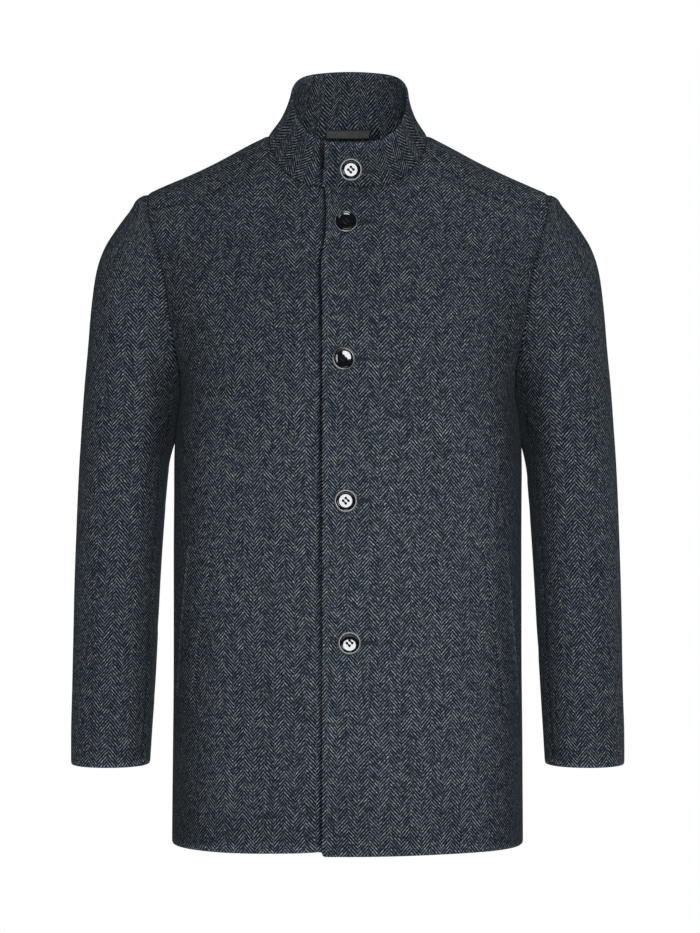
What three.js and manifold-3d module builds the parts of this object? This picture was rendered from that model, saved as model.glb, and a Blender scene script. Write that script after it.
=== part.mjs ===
// A short single-breasted coat with a stand collar, filled out as if worn, open at the neck, cuffs and hem.
// Millimetres. +Z is up, -Y is the front, +X is the wearer's left. The origin is the middle of the neck,
// level with the points where the shoulders meet the collar.

import * as THREE from 'three';
import { mergeVertices } from 'three/addons/utils/BufferGeometryUtils.js';
import Module from 'manifold-3d';

const wasm = await Module();
wasm.setup();

// Cloth
const CLOTH = 2.5;
const COLLAR_CLOTH = 3;
const SEAM_GAP = 0.35;
const HALF_GAP = SEAM_GAP / 2;

// Shoulders and hem
const NECK_HALF_WIDTH = 89;
const NECK_POINT_Z = -2;
const SHOULDER_SLOPE = 0.487;
const SHOULDER_HALF_WIDTH = 224;
const RIDGE_SOFTNESS = 20;
const SHOULDER_SAG = 3;
const HEM_Z = -791;
const LEFT_HEM_DROP = 1.5;
const RIGHT_HEM_DROP = -3;
const HEM_DROP_REACH = 150;

// Body sections: a rounded rectangle at each level, and a round roll over the shoulder
const SECTION_POWER = 2.5;
const ROLL_POWER = 0.4;
const ROLL_HEIGHT = 200;

// Level 0 is the top of the shoulder and level 1 the hem. The depths are the middle's, from the side seam.
const BODY_LEVELS = [
  { level: 0, halfWidth: 243, front: 86, back: 134 },
  { level: 0.08, halfWidth: 241, front: 89, back: 134 },
  { level: 0.118, halfWidth: 237, front: 92, back: 134 },
  { level: 0.169, halfWidth: 228, front: 102, back: 134 },
  { level: 0.257, halfWidth: 200, front: 113, back: 132 },
  { level: 0.29, halfWidth: 190.5, front: 115, back: 130 },
  { level: 0.325, halfWidth: 187, front: 117, back: 128 },
  { level: 0.36, halfWidth: 190.5, front: 117.5, back: 126 },
  { level: 0.4, halfWidth: 193.7, front: 118, back: 125 },
  { level: 0.48, halfWidth: 194.3, front: 119, back: 123 },
  { level: 0.7, halfWidth: 194.5, front: 121, back: 124 },
  { level: 1, halfWidth: 195.8, front: 124, back: 129 },
];

// Neckline: how far it lies below the shoulder's top line
const NECK_DROP_FRONT = 98;
const NECK_DROP_BACK = 20;
const NECK_POWER_FRONT = 1.25;
const NECK_POWER_BACK = 1.6;

// Shoulder seam, forward of the shoulder's top
const SHOULDER_SEAM_DROP = 36;
const SHOULDER_SEAM_NECK_ANGLE = 71.5;
const SHOULDER_SEAM_OFFSET = 0.25;

// Armhole. The angle runs from the top (0) by the front (90) to the underarm (180) and up the back.
const ARMHOLE_STEPS = 32;
const ARMHOLE_BOTTOM_Z = -287;
const ARMHOLE_FRONT_DEPTH = 58;
const ARMHOLE_BACK_DEPTH = 68;
const SHOULDER_SEAM_STEP = 3;
const ARMHOLE_UPPER_HALF = [
  { z: -179, front: 200.5, back: 209 },
  { z: -155, front: 205, back: 214 },
  { z: -137, front: 209, back: 217.5 },
  { z: -119, front: 214.5, back: 221 },
  { z: -91, front: 222, back: 224 },
  { z: -67, front: 224, back: 224 },
];

// Front edges and the lap
const FRONT_EDGE = 29;
const UNDER_EDGE = 22;
const LAP_START = 58;
const LAP_FULL = 32;
const LAP_GAP = 1.5;

// Grid of the panels
const SIDE_ROWS = 10;
const FRONT_EDGE_ROWS = 6;
const BACK_MIDDLE_ROWS = 9;
const FRONT_NECK_ROWS = ARMHOLE_STEPS / 2 - SHOULDER_SEAM_STEP - FRONT_EDGE_ROWS;
const BACK_NECK_ROWS = ARMHOLE_STEPS / 2 + SHOULDER_SEAM_STEP - BACK_MIDDLE_ROWS;
const FRONT_COLUMNS = 12;
const BACK_COLUMNS = 10;

// Collar
const COLLAR_HALF_WIDTH = 66;
const COLLAR_HALF_DEPTH = 72;
const COLLAR_LEAN = 2.5;
const COLLAR_FLARE = 1.6;
const COLLAR_ROWS = 5;
const COLLAR_TOP = [
  { angle: 0, z: -17 },
  { angle: 27, z: -14 },
  { angle: 45, z: -5 },
  { angle: 60, z: 8 },
  { angle: 75, z: 25 },
  { angle: 90, z: 44 },
  { angle: 105, z: 58 },
  { angle: 125, z: 70 },
  { angle: 150, z: 77 },
  { angle: 180, z: 80 },
];

// Sleeve rings, from the armhole to the cuff: the outer and inner lines, half the depth and the middle's place
const SLEEVE_RINGS = [
  { outX: 224, outZ: -67, inX: 187, inZ: -287, halfDepth: 62, middleY: 4, armhole: 1 },
  { outX: 233, outZ: -72.5, inX: 187.8, inZ: -290.5, halfDepth: 64, middleY: 4, armhole: 0.8 },
  { outX: 246.5, outZ: -89, inX: 188.6, inZ: -294.5, halfDepth: 66, middleY: 4, armhole: 0.55 },
  { outX: 261, outZ: -109, inX: 189.6, inZ: -299, halfDepth: 68, middleY: 4, armhole: 0.3 },
  { outX: 273, outZ: -129, inX: 190.9, inZ: -304, halfDepth: 70, middleY: 4, armhole: 0.12 },
  { outX: 281.5, outZ: -155, inX: 192.3, inZ: -310, halfDepth: 71.5, middleY: 4, armhole: 0 },
  { outX: 287, outZ: -195, inX: 194, inZ: -318, halfDepth: 72.5, middleY: 4, armhole: 0 },
  { outX: 290.8, outZ: -240, inX: 195.6, inZ: -330, halfDepth: 72.5, middleY: 4, armhole: 0 },
  { outX: 294.6, outZ: -283, inX: 198.2, inZ: -350, halfDepth: 71.5, middleY: 3, armhole: 0 },
  { outX: 297.6, outZ: -330, inX: 200.4, inZ: -374, halfDepth: 70, middleY: 2, armhole: 0 },
  { outX: 300.4, outZ: -380, inX: 203.2, inZ: -409, halfDepth: 68, middleY: 1, armhole: 0 },
  { outX: 303, outZ: -440, inX: 206.6, inZ: -458, halfDepth: 65, middleY: -1, armhole: 0 },
  { outX: 305, outZ: -500, inX: 209.6, inZ: -511, halfDepth: 62, middleY: -5, armhole: 0 },
  { outX: 306.2, outZ: -560, inX: 212.2, inZ: -567, halfDepth: 59, middleY: -10, armhole: 0 },
  { outX: 306.8, outZ: -620, inX: 215, inZ: -624, halfDepth: 56, middleY: -16, armhole: 0 },
  { outX: 307.4, outZ: -663, inX: 217.4, inZ: -665, halfDepth: 54, middleY: -21, armhole: 0 },
  { outX: 307, outZ: -701.5, inX: 219.4, inZ: -701.5, halfDepth: 52.5, middleY: -25, armhole: 0 },
];
const SLEEVE_POWER = 2.15;
const FORE_SEAM_STEP = 13;
const HIND_SEAM_STEP = 23;

// Buttons
const BUTTON_SEGMENTS = 20;
const BUTTON_HOLE_RADIUS = 1;
const BUTTON_HOLE_SPREAD = 2.1;
const BUTTON_HOLE_FLOOR = 2;
const BUTTON_HOLE_SIDES = 6;
const BUTTON_PROFILE = [
  { radius: 3, height: SEAM_GAP },
  { radius: 3, height: 1.6 },
  { radius: 10.8, height: 1.6 },
  { radius: 12.5, height: 3.9 },
  { radius: 11, height: 5.7 },
  { radius: 9.8, height: 5.3 },
  { radius: 8.8, height: 4.4 },
];
const BUTTON_FACE_HEIGHT = 4.1;
const COLLAR_BUTTON = { x: 3, rise: 0.32 };
const FRONT_BUTTONS = [
  { x: -2, z: -107.5 },
  { x: -5, z: -256 },
  { x: -2, z: -409 },
  { x: 2, z: -562 },
];

// Pocket welts: a slanting strip on each front, given by its lower front corner
const WELT_LENGTH = 165;
const WELT_LOW_X = 169;
const WELT_LOW_Z = -635;
const WELT_TURN = 0.25;
const WELT_LEAN = 0.19;
const WELT_END_RISE = 13;
const WELT_THICKNESS = 2;
const WELT_COLUMNS = 4;
const WELT_ROWS = 10;

// Neck loop
const LOOP_HALF_WIDTH = 25;
const LOOP_TOP_Z = 13;
const LOOP_LEVEL = 0.05;
const LOOP_HEIGHT = 11;
const LOOP_THICKNESS = 1.2;
const LOOP_COLUMNS = 8;

// Reads a table's column at a place, by a smooth curve through its rows
function read(table, key, at, column) {
  const last = table.length - 1;
  const place = Math.min(Math.max(at, table[0][key]), table[last][key]);
  let row = 0;
  while (row < last - 1 && table[row + 1][key] < place) row += 1;
  const slope = (i) => {
    if (i === 0 || i === last) return 0;
    return (table[i + 1][column] - table[i - 1][column]) / (table[i + 1][key] - table[i - 1][key]);
  };
  const width = table[row + 1][key] - table[row][key];
  const t = (place - table[row][key]) / width;
  const start = table[row][column];
  const end = table[row + 1][column];
  return (
    start * (1 + 2 * t) * (1 - t) ** 2 +
    slope(row) * width * t * (1 - t) ** 2 +
    end * (3 - 2 * t) * t ** 2 -
    slope(row + 1) * width * t ** 2 * (1 - t)
  );
}

const mix = (a, b, t) => a + (b - a) * t;
const radians = THREE.MathUtils.degToRad;

function smoothStep(from, to, value) {
  const t = Math.min(Math.max((value - from) / (to - from), 0), 1);
  return t * t * (3 - 2 * t);
}

// The body's surface. It is charted by turn (0 at the middle, a quarter turn at the side)
// and by fall (-1 at the front hem, 0 on the shoulder's top, 1 at the back hem).
const softened = (x) => Math.hypot(x, RIDGE_SOFTNESS);
function shoulderZ(x) {
  const along = (Math.abs(x) - NECK_HALF_WIDTH) / (SHOULDER_HALF_WIDTH - NECK_HALF_WIDTH);
  const sag = SHOULDER_SAG * Math.sin(Math.PI * Math.min(Math.max(along, 0), 1)) ** 2;
  return NECK_POINT_Z + SHOULDER_SLOPE * (softened(NECK_HALF_WIDTH) - softened(x)) - sag;
}

const levelAt = (x, z) => (shoulderZ(x) - z) / (shoulderZ(x) - HEM_Z);
const fallAt = (level) => level ** ROLL_POWER;

function roll(drop) {
  const t = Math.min(drop / ROLL_HEIGHT, 1);
  return (1 - (1 - t) ** 2) ** ROLL_POWER;
}

function bodyPoint(turn, fall) {
  const level = Math.abs(fall) ** (1 / ROLL_POWER);
  const sine = Math.min(Math.abs(Math.sin(turn)), 1);
  const x = read(BODY_LEVELS, 'level', level, 'halfWidth') * Math.sin(turn);
  const z = mix(shoulderZ(x), HEM_Z, level);
  const depth = read(BODY_LEVELS, 'level', level, fall < 0 ? 'front' : 'back');
  const round = Math.max(1 - sine ** SECTION_POWER, 0) ** (1 / SECTION_POWER);
  return new THREE.Vector3(x, Math.sign(fall) * depth * roll(shoulderZ(x) - z) * round, z);
}

function bodyNormal(turn, fall) {
  const step = 1e-3;
  const limit = Math.PI / 2;
  const ahead = Math.min(turn + step, limit);
  const behind = Math.max(turn - step, -limit);
  const across = bodyPoint(ahead, fall).sub(bodyPoint(behind, fall));
  const along = bodyPoint(turn, Math.min(fall + step, 1)).sub(bodyPoint(turn, Math.max(fall - step, -1)));
  return across.cross(along).normalize();
}

// The chart of a point given by its x and z, on the front (-1) or the back (1)
function chartOfXZ(x, z, side) {
  const level = Math.max(levelAt(x, z), 0);
  const turn = Math.asin(Math.min(x / read(BODY_LEVELS, 'level', level, 'halfWidth'), 1));
  return { turn, fall: side * fallAt(level) };
}

// The chart of a point near the side, given by its y and z
function chartOfYZ(y, z) {
  const side = y < 0 ? -1 : 1;
  let x = 190;
  let level = 0;
  let width = x;
  for (let pass = 0; pass < 12; pass += 1) {
    level = levelAt(x, z);
    width = read(BODY_LEVELS, 'level', level, 'halfWidth');
    const depth = read(BODY_LEVELS, 'level', level, side < 0 ? 'front' : 'back') * roll(shoulderZ(x) - z);
    x = width * Math.max(1 - (Math.abs(y) / depth) ** SECTION_POWER, 0) ** (1 / SECTION_POWER);
  }
  return { turn: Math.asin(Math.min(x / width, 1)), fall: side * fallAt(level) };
}

const chartPoint = (chart) => bodyPoint(chart.turn, chart.fall);
const chartNormal = (chart) => bodyNormal(chart.turn, chart.fall);
const mirror = (vector) => new THREE.Vector3(-vector.x, vector.y, vector.z);

// The neckline, by the angle round the neck from the middle of the front
function neckChart(angle) {
  const x = NECK_HALF_WIDTH * Math.sin(angle);
  const ahead = Math.cos(angle);
  const drop = ahead > 0
    ? NECK_DROP_FRONT * ahead ** NECK_POWER_FRONT
    : NECK_DROP_BACK * (-ahead) ** NECK_POWER_BACK;
  return chartOfXZ(x, shoulderZ(x) - drop, ahead > 0 ? -1 : 1);
}

// The armhole, by steps round it
const ARMHOLE_TOP_Z = shoulderZ(SHOULDER_HALF_WIDTH);

function armholeChart(step) {
  const angle = (step / ARMHOLE_STEPS) * 2 * Math.PI;
  const side = Math.sin(angle) > 0 ? -1 : 1;
  const z = mix(ARMHOLE_BOTTOM_Z, ARMHOLE_TOP_Z, (1 + Math.cos(angle)) / 2);
  if (Math.cos(angle) > 0.01) {
    return chartOfXZ(read(ARMHOLE_UPPER_HALF, 'z', z, side < 0 ? 'front' : 'back'), z, side);
  }
  const depth = side < 0 ? ARMHOLE_FRONT_DEPTH : ARMHOLE_BACK_DEPTH;
  return chartOfYZ(side * Math.max(depth * Math.abs(Math.sin(angle)), HALF_GAP), z);
}

// A closed wall made from an open sheet of points and four-sided faces, thickened against the points' normals
function wall(points, normals, faces, thickness) {
  const count = points.length;
  const inner = points.map((point, i) => point.clone().addScaledVector(normals[i], -thickness));
  const outerTriangles = faces.flatMap(([a, b, c, d]) => [[a, b, c], [a, c, d]]);
  const triangles = [];
  const open = new Map();
  const spot = points.map((point) => point.toArray().map((v) => v.toFixed(3)).join());
  for (const [a, b, c] of outerTriangles) {
    triangles.push(a, b, c, a + count, c + count, b + count);
    for (const [from, to] of [[a, b], [b, c], [c, a]]) {
      if (!open.delete(`${spot[to]} ${spot[from]}`)) open.set(`${spot[from]} ${spot[to]}`, [from, to]);
    }
  }
  for (const [from, to] of open.values()) {
    triangles.push(to, from, from + count, to, from + count, to + count);
  }
  const loose = new THREE.BufferGeometry();
  const positions = [...points, ...inner].flatMap((point) => point.toArray());
  loose.setAttribute('position', new THREE.Float32BufferAttribute(positions, 3));
  loose.setIndex(triangles);
  const solid = mergeVertices(loose, 1e-3);
  solid.computeVertexNormals();
  return solid;
}

// The faces of a grid of rows and columns of points
function gridFaces(rows, columns, start = 0, flip = false) {
  const faces = [];
  for (let r = 0; r < rows; r += 1) {
    for (let c = 0; c < columns; c += 1) {
      const low = start + r * (columns + 1) + c;
      const high = low + columns + 1;
      faces.push(flip ? [low, high, high + 1, low + 1] : [low, low + 1, high + 1, high]);
    }
  }
  return faces;
}

// A four-sided patch of chart points between its inner, outer, bottom and top edges
function patch(inner, outer, bottom, top) {
  const rows = inner.length - 1;
  const columns = bottom.length - 1;
  const charts = [];
  for (let r = 0; r <= rows; r += 1) {
    const v = r / rows;
    for (let c = 0; c <= columns; c += 1) {
      const u = c / columns;
      const blend = (key) =>
        mix(inner[r][key], outer[r][key], u) +
        mix(bottom[c][key], top[c][key], v) -
        mix(mix(bottom[0][key], bottom[columns][key], u), mix(top[0][key], top[columns][key], u), v);
      charts.push({ turn: blend('turn'), fall: blend('fall') });
    }
  }
  return charts;
}

// The side seam's chart at a height, half a gap to the front or back of the side
const sideSeam = (z, side) => chartOfYZ(side * HALF_GAP, z);

// The forward shoulder seam from the neck to the armhole
function shoulderSeam(columns, offset) {
  const neck = neckChart(radians(SHOULDER_SEAM_NECK_ANGLE));
  const arm = armholeChart(SHOULDER_SEAM_STEP);
  const neckX = chartPoint(neck).x;
  const armX = chartPoint(arm).x;
  const neckDrop = shoulderZ(neckX) - chartPoint(neck).z;
  const armDrop = shoulderZ(armX) - chartPoint(arm).z;
  const seam = [];
  for (let c = 0; c <= columns; c += 1) {
    const u = c / columns;
    const x = mix(neckX, armX, u);
    const bulge = 4 * u * (1 - u) * (SHOULDER_SEAM_DROP - (neckDrop + armDrop) / 2);
    seam.push(chartOfXZ(x, shoulderZ(x) - mix(neckDrop, armDrop, u) - bulge - offset, -1));
  }
  return seam;
}

// The heights of the rows from the hem to the underarm
const rowHeights = () =>
  Array.from({ length: SIDE_ROWS + 1 }, (_, r) => mix(HEM_Z, ARMHOLE_BOTTOM_Z, r / SIDE_ROWS));

function frontSheet(edge, drop, lap) {
  const heights = rowHeights();
  const armSteps = ARMHOLE_STEPS / 2 - SHOULDER_SEAM_STEP;
  const outer = heights.map((z) => sideSeam(z, -1));
  for (let k = 1; k <= armSteps; k += 1) outer.push(armholeChart(ARMHOLE_STEPS / 2 - k));
  const seam = shoulderSeam(FRONT_COLUMNS, SHOULDER_SEAM_OFFSET);
  outer[outer.length - 1] = seam[FRONT_COLUMNS];

  const neckStart = -Math.asin(edge / NECK_HALF_WIDTH);
  const neckTop = chartPoint(neckChart(neckStart)).z;
  const inner = heights.map((z) => chartOfXZ(-edge, z, -1));
  for (let k = 1; k <= FRONT_EDGE_ROWS; k += 1) {
    inner.push(chartOfXZ(-edge, mix(ARMHOLE_BOTTOM_Z, neckTop, k / FRONT_EDGE_ROWS), -1));
  }
  for (let k = 1; k <= FRONT_NECK_ROWS; k += 1) {
    inner.push(neckChart(mix(neckStart, radians(SHOULDER_SEAM_NECK_ANGLE), k / FRONT_NECK_ROWS)));
  }
  inner[inner.length - 1] = seam[0];

  const bottom = Array.from({ length: FRONT_COLUMNS + 1 }, (_, c) => ({
    turn: mix(inner[0].turn, outer[0].turn, c / FRONT_COLUMNS),
    fall: -1,
  }));
  const charts = patch(inner, outer, bottom, seam);
  const points = charts.map((chart) => {
    const point = chartPoint(chart);
    const low = 1 - smoothStep(HEM_Z, ARMHOLE_BOTTOM_Z, point.z);
    const middle = 1 - smoothStep(0, HEM_DROP_REACH, point.x);
    point.z -= drop * low * middle;
    point.y += lap * smoothStep(-LAP_START, -LAP_FULL, -point.x);
    return point;
  });
  return { points, normals: charts.map(chartNormal), rows: inner.length - 1 };
}

function frontLeft() {
  const { points, normals, rows } = frontSheet(FRONT_EDGE, LEFT_HEM_DROP, 0);
  return wall(points, normals, gridFaces(rows, FRONT_COLUMNS), CLOTH);
}

function frontRight() {
  const { points, normals, rows } = frontSheet(UNDER_EDGE, RIGHT_HEM_DROP, CLOTH + LAP_GAP);
  return wall(points.map(mirror), normals.map(mirror), gridFaces(rows, FRONT_COLUMNS, 0, true), CLOTH);
}

function backHalf() {
  const heights = rowHeights();
  const armSteps = ARMHOLE_STEPS / 2 + SHOULDER_SEAM_STEP;
  const outer = heights.map((z) => sideSeam(z, 1));
  for (let k = 1; k <= armSteps; k += 1) outer.push(armholeChart((ARMHOLE_STEPS / 2 + k) % ARMHOLE_STEPS));
  const seam = shoulderSeam(BACK_COLUMNS, -SHOULDER_SEAM_OFFSET);
  outer[outer.length - 1] = seam[BACK_COLUMNS];

  const neckTop = chartPoint(neckChart(Math.PI)).z;
  const inner = heights.map((z) => chartOfXZ(0, z, 1));
  for (let k = 1; k <= BACK_MIDDLE_ROWS; k += 1) {
    inner.push(chartOfXZ(0, mix(ARMHOLE_BOTTOM_Z, neckTop, k / BACK_MIDDLE_ROWS), 1));
  }
  for (let k = 1; k <= BACK_NECK_ROWS; k += 1) {
    inner.push(neckChart(mix(Math.PI, radians(SHOULDER_SEAM_NECK_ANGLE), k / BACK_NECK_ROWS)));
  }
  inner[inner.length - 1] = seam[0];

  const bottom = Array.from({ length: BACK_COLUMNS + 1 }, (_, c) => ({
    turn: mix(0, outer[0].turn, c / BACK_COLUMNS),
    fall: 1,
  }));
  return { charts: patch(inner, outer, bottom, seam), rows: inner.length - 1 };
}

function back() {
  const { charts, rows } = backHalf();
  const points = charts.map(chartPoint);
  const normals = charts.map(chartNormal);
  const faces = [
    ...gridFaces(rows, BACK_COLUMNS, 0, true),
    ...gridFaces(rows, BACK_COLUMNS, points.length, false),
  ];
  return wall([...points, ...points.map(mirror)], [...normals, ...normals.map(mirror)], faces, CLOTH);
}

// The angle round the neck, folded to one side. It runs beyond a full turn where the collar laps.
const foldedAngle = (angle) => Math.abs(((angle + Math.PI) % (2 * Math.PI)) - Math.PI);
const handAt = (angle) => (Math.sin(angle) < 0 ? -1 : 1);

// The collar's seam: the neckline, a seam's gap into the neck along the body's surface
function collarSeam(turned) {
  const step = 1e-3;
  const chart = neckChart(turned);
  const along = chartPoint(neckChart(turned + step)).sub(chartPoint(neckChart(turned - step)));
  const inward = chartNormal(chart).cross(along).normalize();
  return chartPoint(chart).addScaledVector(inward, SEAM_GAP);
}

// The collar's outer face, by the angle round the neck and the share of its height
function collarPoint(angle, rise) {
  const turned = foldedAngle(angle);
  const hand = handAt(angle);
  const seam = collarSeam(turned);
  const topX = COLLAR_HALF_WIDTH * Math.sin(turned);
  const topY = -COLLAR_HALF_DEPTH * Math.cos(turned);
  const topZ = read(COLLAR_TOP, 'angle', THREE.MathUtils.radToDeg(turned), 'z');
  const flare = (1 - rise) ** COLLAR_FLARE;
  const point = new THREE.Vector3(
    hand * mix(topX, seam.x, flare) + COLLAR_LEAN * rise,
    mix(topY, seam.y, flare),
    mix(seam.z, topZ, rise),
  );
  const under = angle > Math.PI && point.y < 0 ? smoothStep(-LAP_START, -LAP_FULL, point.x) : 0;
  point.y += (COLLAR_CLOTH + LAP_GAP) * under;
  return point;
}

// The collar's facing direction. At its seam it is the body's, so that both walls end side by side.
function collarNormal(angle, rise) {
  if (rise === 0) {
    const normal = chartNormal(neckChart(foldedAngle(angle)));
    return handAt(angle) > 0 ? normal : mirror(normal);
  }
  const step = 1e-3;
  const around = collarPoint(angle + step, rise).sub(collarPoint(angle - step, rise));
  const up = collarPoint(angle, Math.min(rise + step, 1)).sub(collarPoint(angle, Math.max(rise - step, 0)));
  return around.cross(up).normalize();
}

// The collar's columns stand on the rows of the panels below it, so that their seams have the same corners
function collarAngles(reach) {
  const full = 2 * Math.PI;
  const shoulder = radians(SHOULDER_SEAM_NECK_ANGLE);
  const stretches = [
    { from: -Math.asin(FRONT_EDGE / reach), to: shoulder, columns: FRONT_NECK_ROWS },
    { from: shoulder, to: Math.PI, columns: BACK_NECK_ROWS },
    { from: Math.PI, to: full - shoulder, columns: BACK_NECK_ROWS },
    { from: full - shoulder, to: full + Math.asin(UNDER_EDGE / reach), columns: FRONT_NECK_ROWS },
  ];
  const angles = [stretches[0].from];
  for (const { from, to, columns } of stretches) {
    for (let c = 1; c <= columns; c += 1) angles.push(mix(from, to, c / columns));
  }
  return angles;
}

function collar() {
  const points = [];
  const normals = [];
  for (let r = 0; r <= COLLAR_ROWS; r += 1) {
    const rise = r / COLLAR_ROWS;
    for (const angle of collarAngles(mix(NECK_HALF_WIDTH, COLLAR_HALF_WIDTH, rise))) {
      points.push(collarPoint(angle, rise));
      normals.push(collarNormal(angle, rise));
    }
  }
  return wall(points, normals, gridFaces(COLLAR_ROWS, 2 * (FRONT_NECK_ROWS + BACK_NECK_ROWS)), COLLAR_CLOTH);
}

// A sleeve's ring: an oval between its outer and inner lines, near the armhole shaped as the armhole
function sleevePoint(row, steps) {
  const step = (steps + ARMHOLE_STEPS) % ARMHOLE_STEPS;
  const angle = (step / ARMHOLE_STEPS) * 2 * Math.PI;
  const ring = SLEEVE_RINGS[row];
  const first = SLEEVE_RINGS[0];
  const armTop = new THREE.Vector3(SHOULDER_HALF_WIDTH + SEAM_GAP, 0, ARMHOLE_TOP_Z);
  const armLow = chartPoint(armholeChart(ARMHOLE_STEPS / 2)).setY(0).add(new THREE.Vector3(SEAM_GAP, 0, 0));
  const out = ring === first ? armTop : new THREE.Vector3(ring.outX, 0, ring.outZ);
  const inn = ring === first ? armLow : new THREE.Vector3(ring.inX, 0, ring.inZ);

  const power = (value) => Math.sign(value) * Math.abs(value) ** (2 / SLEEVE_POWER);
  const oval = { along: power(Math.cos(angle)), deep: power(Math.sin(angle)), off: 0 };

  const middle0 = armTop.clone().add(armLow).multiplyScalar(0.5);
  const half0 = armTop.clone().sub(armLow).multiplyScalar(0.5);
  const normal0 = new THREE.Vector3(-half0.z, 0, half0.x).normalize();
  const hole = chartPoint(armholeChart(step)).add(new THREE.Vector3(SEAM_GAP, 0, 0));
  if (step === ARMHOLE_STEPS / 2) hole.setY(0);
  const from = hole.clone().sub(middle0);
  const hollow = {
    along: from.dot(half0) / half0.lengthSq(),
    deep: -(hole.y - first.middleY) / first.halfDepth,
    off: from.dot(normal0),
  };

  const share = ring.armhole;
  const along = mix(oval.along, hollow.along, share);
  const deep = mix(oval.deep, hollow.deep, share);
  const off = mix(oval.off, hollow.off, share);
  const middle = out.clone().add(inn).multiplyScalar(0.5);
  const half = out.clone().sub(inn).multiplyScalar(0.5);
  const normal = new THREE.Vector3(-half.z, 0, half.x).normalize();
  const point = middle.addScaledVector(half, along).addScaledVector(normal, off);
  point.y = ring.middleY - deep * ring.halfDepth;
  return point;
}

function sleeveNormal(row, step) {
  const last = SLEEVE_RINGS.length - 1;
  const around = sleevePoint(row, step + 1).sub(sleevePoint(row, step - 1));
  const down = sleevePoint(Math.min(row + 1, last), step).sub(sleevePoint(Math.max(row - 1, 0), step));
  return around.cross(down).normalize();
}

// One piece of a sleeve, between two seams along its length
function sleevePiece(fromStep, toStep, hand) {
  const points = [];
  const normals = [];
  for (let row = SLEEVE_RINGS.length - 1; row >= 0; row -= 1) {
    for (let step = fromStep; step <= toStep; step += 1) {
      const point = sleevePoint(row, step);
      const inward = step === fromStep ? 1 : step === toStep ? -1 : 0;
      if (inward) {
        const next = sleevePoint(row, step + inward);
        point.addScaledVector(next.sub(point).normalize(), HALF_GAP);
      }
      points.push(hand > 0 ? point : mirror(point));
      normals.push(hand > 0 ? sleeveNormal(row, step) : mirror(sleeveNormal(row, step)));
    }
  }
  return wall(points, normals, gridFaces(SLEEVE_RINGS.length - 1, toStep - fromStep, 0, hand > 0), CLOTH);
}

const topSleeve = (hand) => sleevePiece(HIND_SEAM_STEP - ARMHOLE_STEPS, FORE_SEAM_STEP, hand);
const underSleeve = (hand) => sleevePiece(FORE_SEAM_STEP, HIND_SEAM_STEP, hand);

// Turns a geometry into a solid for cutting, and back
function toSolid(geometry) {
  const bare = geometry.clone();
  bare.deleteAttribute('normal');
  bare.deleteAttribute('uv');
  const merged = mergeVertices(bare, 1e-4);
  return new wasm.Manifold(
    new wasm.Mesh({
      numProp: 3,
      vertProperties: new Float32Array(merged.attributes.position.array),
      triVerts: new Uint32Array(merged.index.array),
    }),
  );
}

function fromSolid(solid) {
  const mesh = solid.getMesh();
  const geometry = new THREE.BufferGeometry();
  geometry.setAttribute('position', new THREE.BufferAttribute(new Float32Array(mesh.vertProperties), 3));
  geometry.setIndex(new THREE.BufferAttribute(new Uint32Array(mesh.triVerts), 1));
  geometry.computeVertexNormals();
  return geometry;
}

// A round button with a raised rim, a dished face, four holes and a thread neck. Its axis is +Y, cloth at 0.
function button() {
  const profile = [
    new THREE.Vector2(0, SEAM_GAP),
    ...BUTTON_PROFILE.map((p) => new THREE.Vector2(p.radius, p.height)),
    new THREE.Vector2(0, BUTTON_FACE_HEIGHT),
  ];
  let solid = toSolid(new THREE.LatheGeometry(profile, BUTTON_SEGMENTS));
  for (const [sideways, upward] of [[1, 0], [0, 1], [-1, 0], [0, -1]]) {
    const depth = BUTTON_FACE_HEIGHT;
    const hole = new THREE.CylinderGeometry(BUTTON_HOLE_RADIUS, BUTTON_HOLE_RADIUS, depth, BUTTON_HOLE_SIDES);
    hole.translate(sideways * BUTTON_HOLE_SPREAD, BUTTON_HOLE_FLOOR + depth / 2, upward * BUTTON_HOLE_SPREAD);
    solid = solid.subtract(toSolid(hole));
  }
  return fromSolid(solid);
}

// Places a button on a point, facing along a normal
function placeButton(mesh, point, normal) {
  mesh.position.copy(point);
  mesh.quaternion.setFromUnitVectors(new THREE.Vector3(0, 1, 0), normal);
}

// A thin strip that lies on a panel, made from the panel's own points
function stripOn(charts, rows, columns, base, thickness, flip) {
  const normals = charts.map(chartNormal);
  const points = charts.map((chart, i) => chartPoint(chart).addScaledVector(normals[i], base + thickness));
  return wall(points, normals, gridFaces(rows, columns, 0, flip), thickness);
}

function pocketWelt(hand) {
  const low = chartOfXZ(WELT_LOW_X, WELT_LOW_Z, -1);
  const charts = [];
  for (let r = 0; r <= WELT_ROWS; r += 1) {
    const v = r / WELT_ROWS;
    for (let c = 0; c <= WELT_COLUMNS; c += 1) {
      const u = c / WELT_COLUMNS;
      const turn = low.turn - WELT_LEAN * v + WELT_TURN * u;
      const z = WELT_LOW_Z + WELT_END_RISE * u + WELT_LENGTH * v;
      const level = (shoulderZ(WELT_LOW_X) - z) / (shoulderZ(WELT_LOW_X) - HEM_Z);
      charts.push({ turn, fall: -fallAt(level) });
    }
  }
  const strip = stripOn(charts, WELT_ROWS, WELT_COLUMNS, SEAM_GAP, WELT_THICKNESS, false);
  return hand > 0 ? strip : mirrored(strip);
}

// The mirror image of a solid, with its faces still pointing out
function mirrored(geometry) {
  const copy = geometry.clone();
  copy.scale(-1, 1, 1);
  const index = copy.index.array;
  for (let t = 0; t < index.length; t += 3) {
    const second = index[t + 1];
    index[t + 1] = index[t + 2];
    index[t + 2] = second;
  }
  copy.computeVertexNormals();
  return copy;
}

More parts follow.
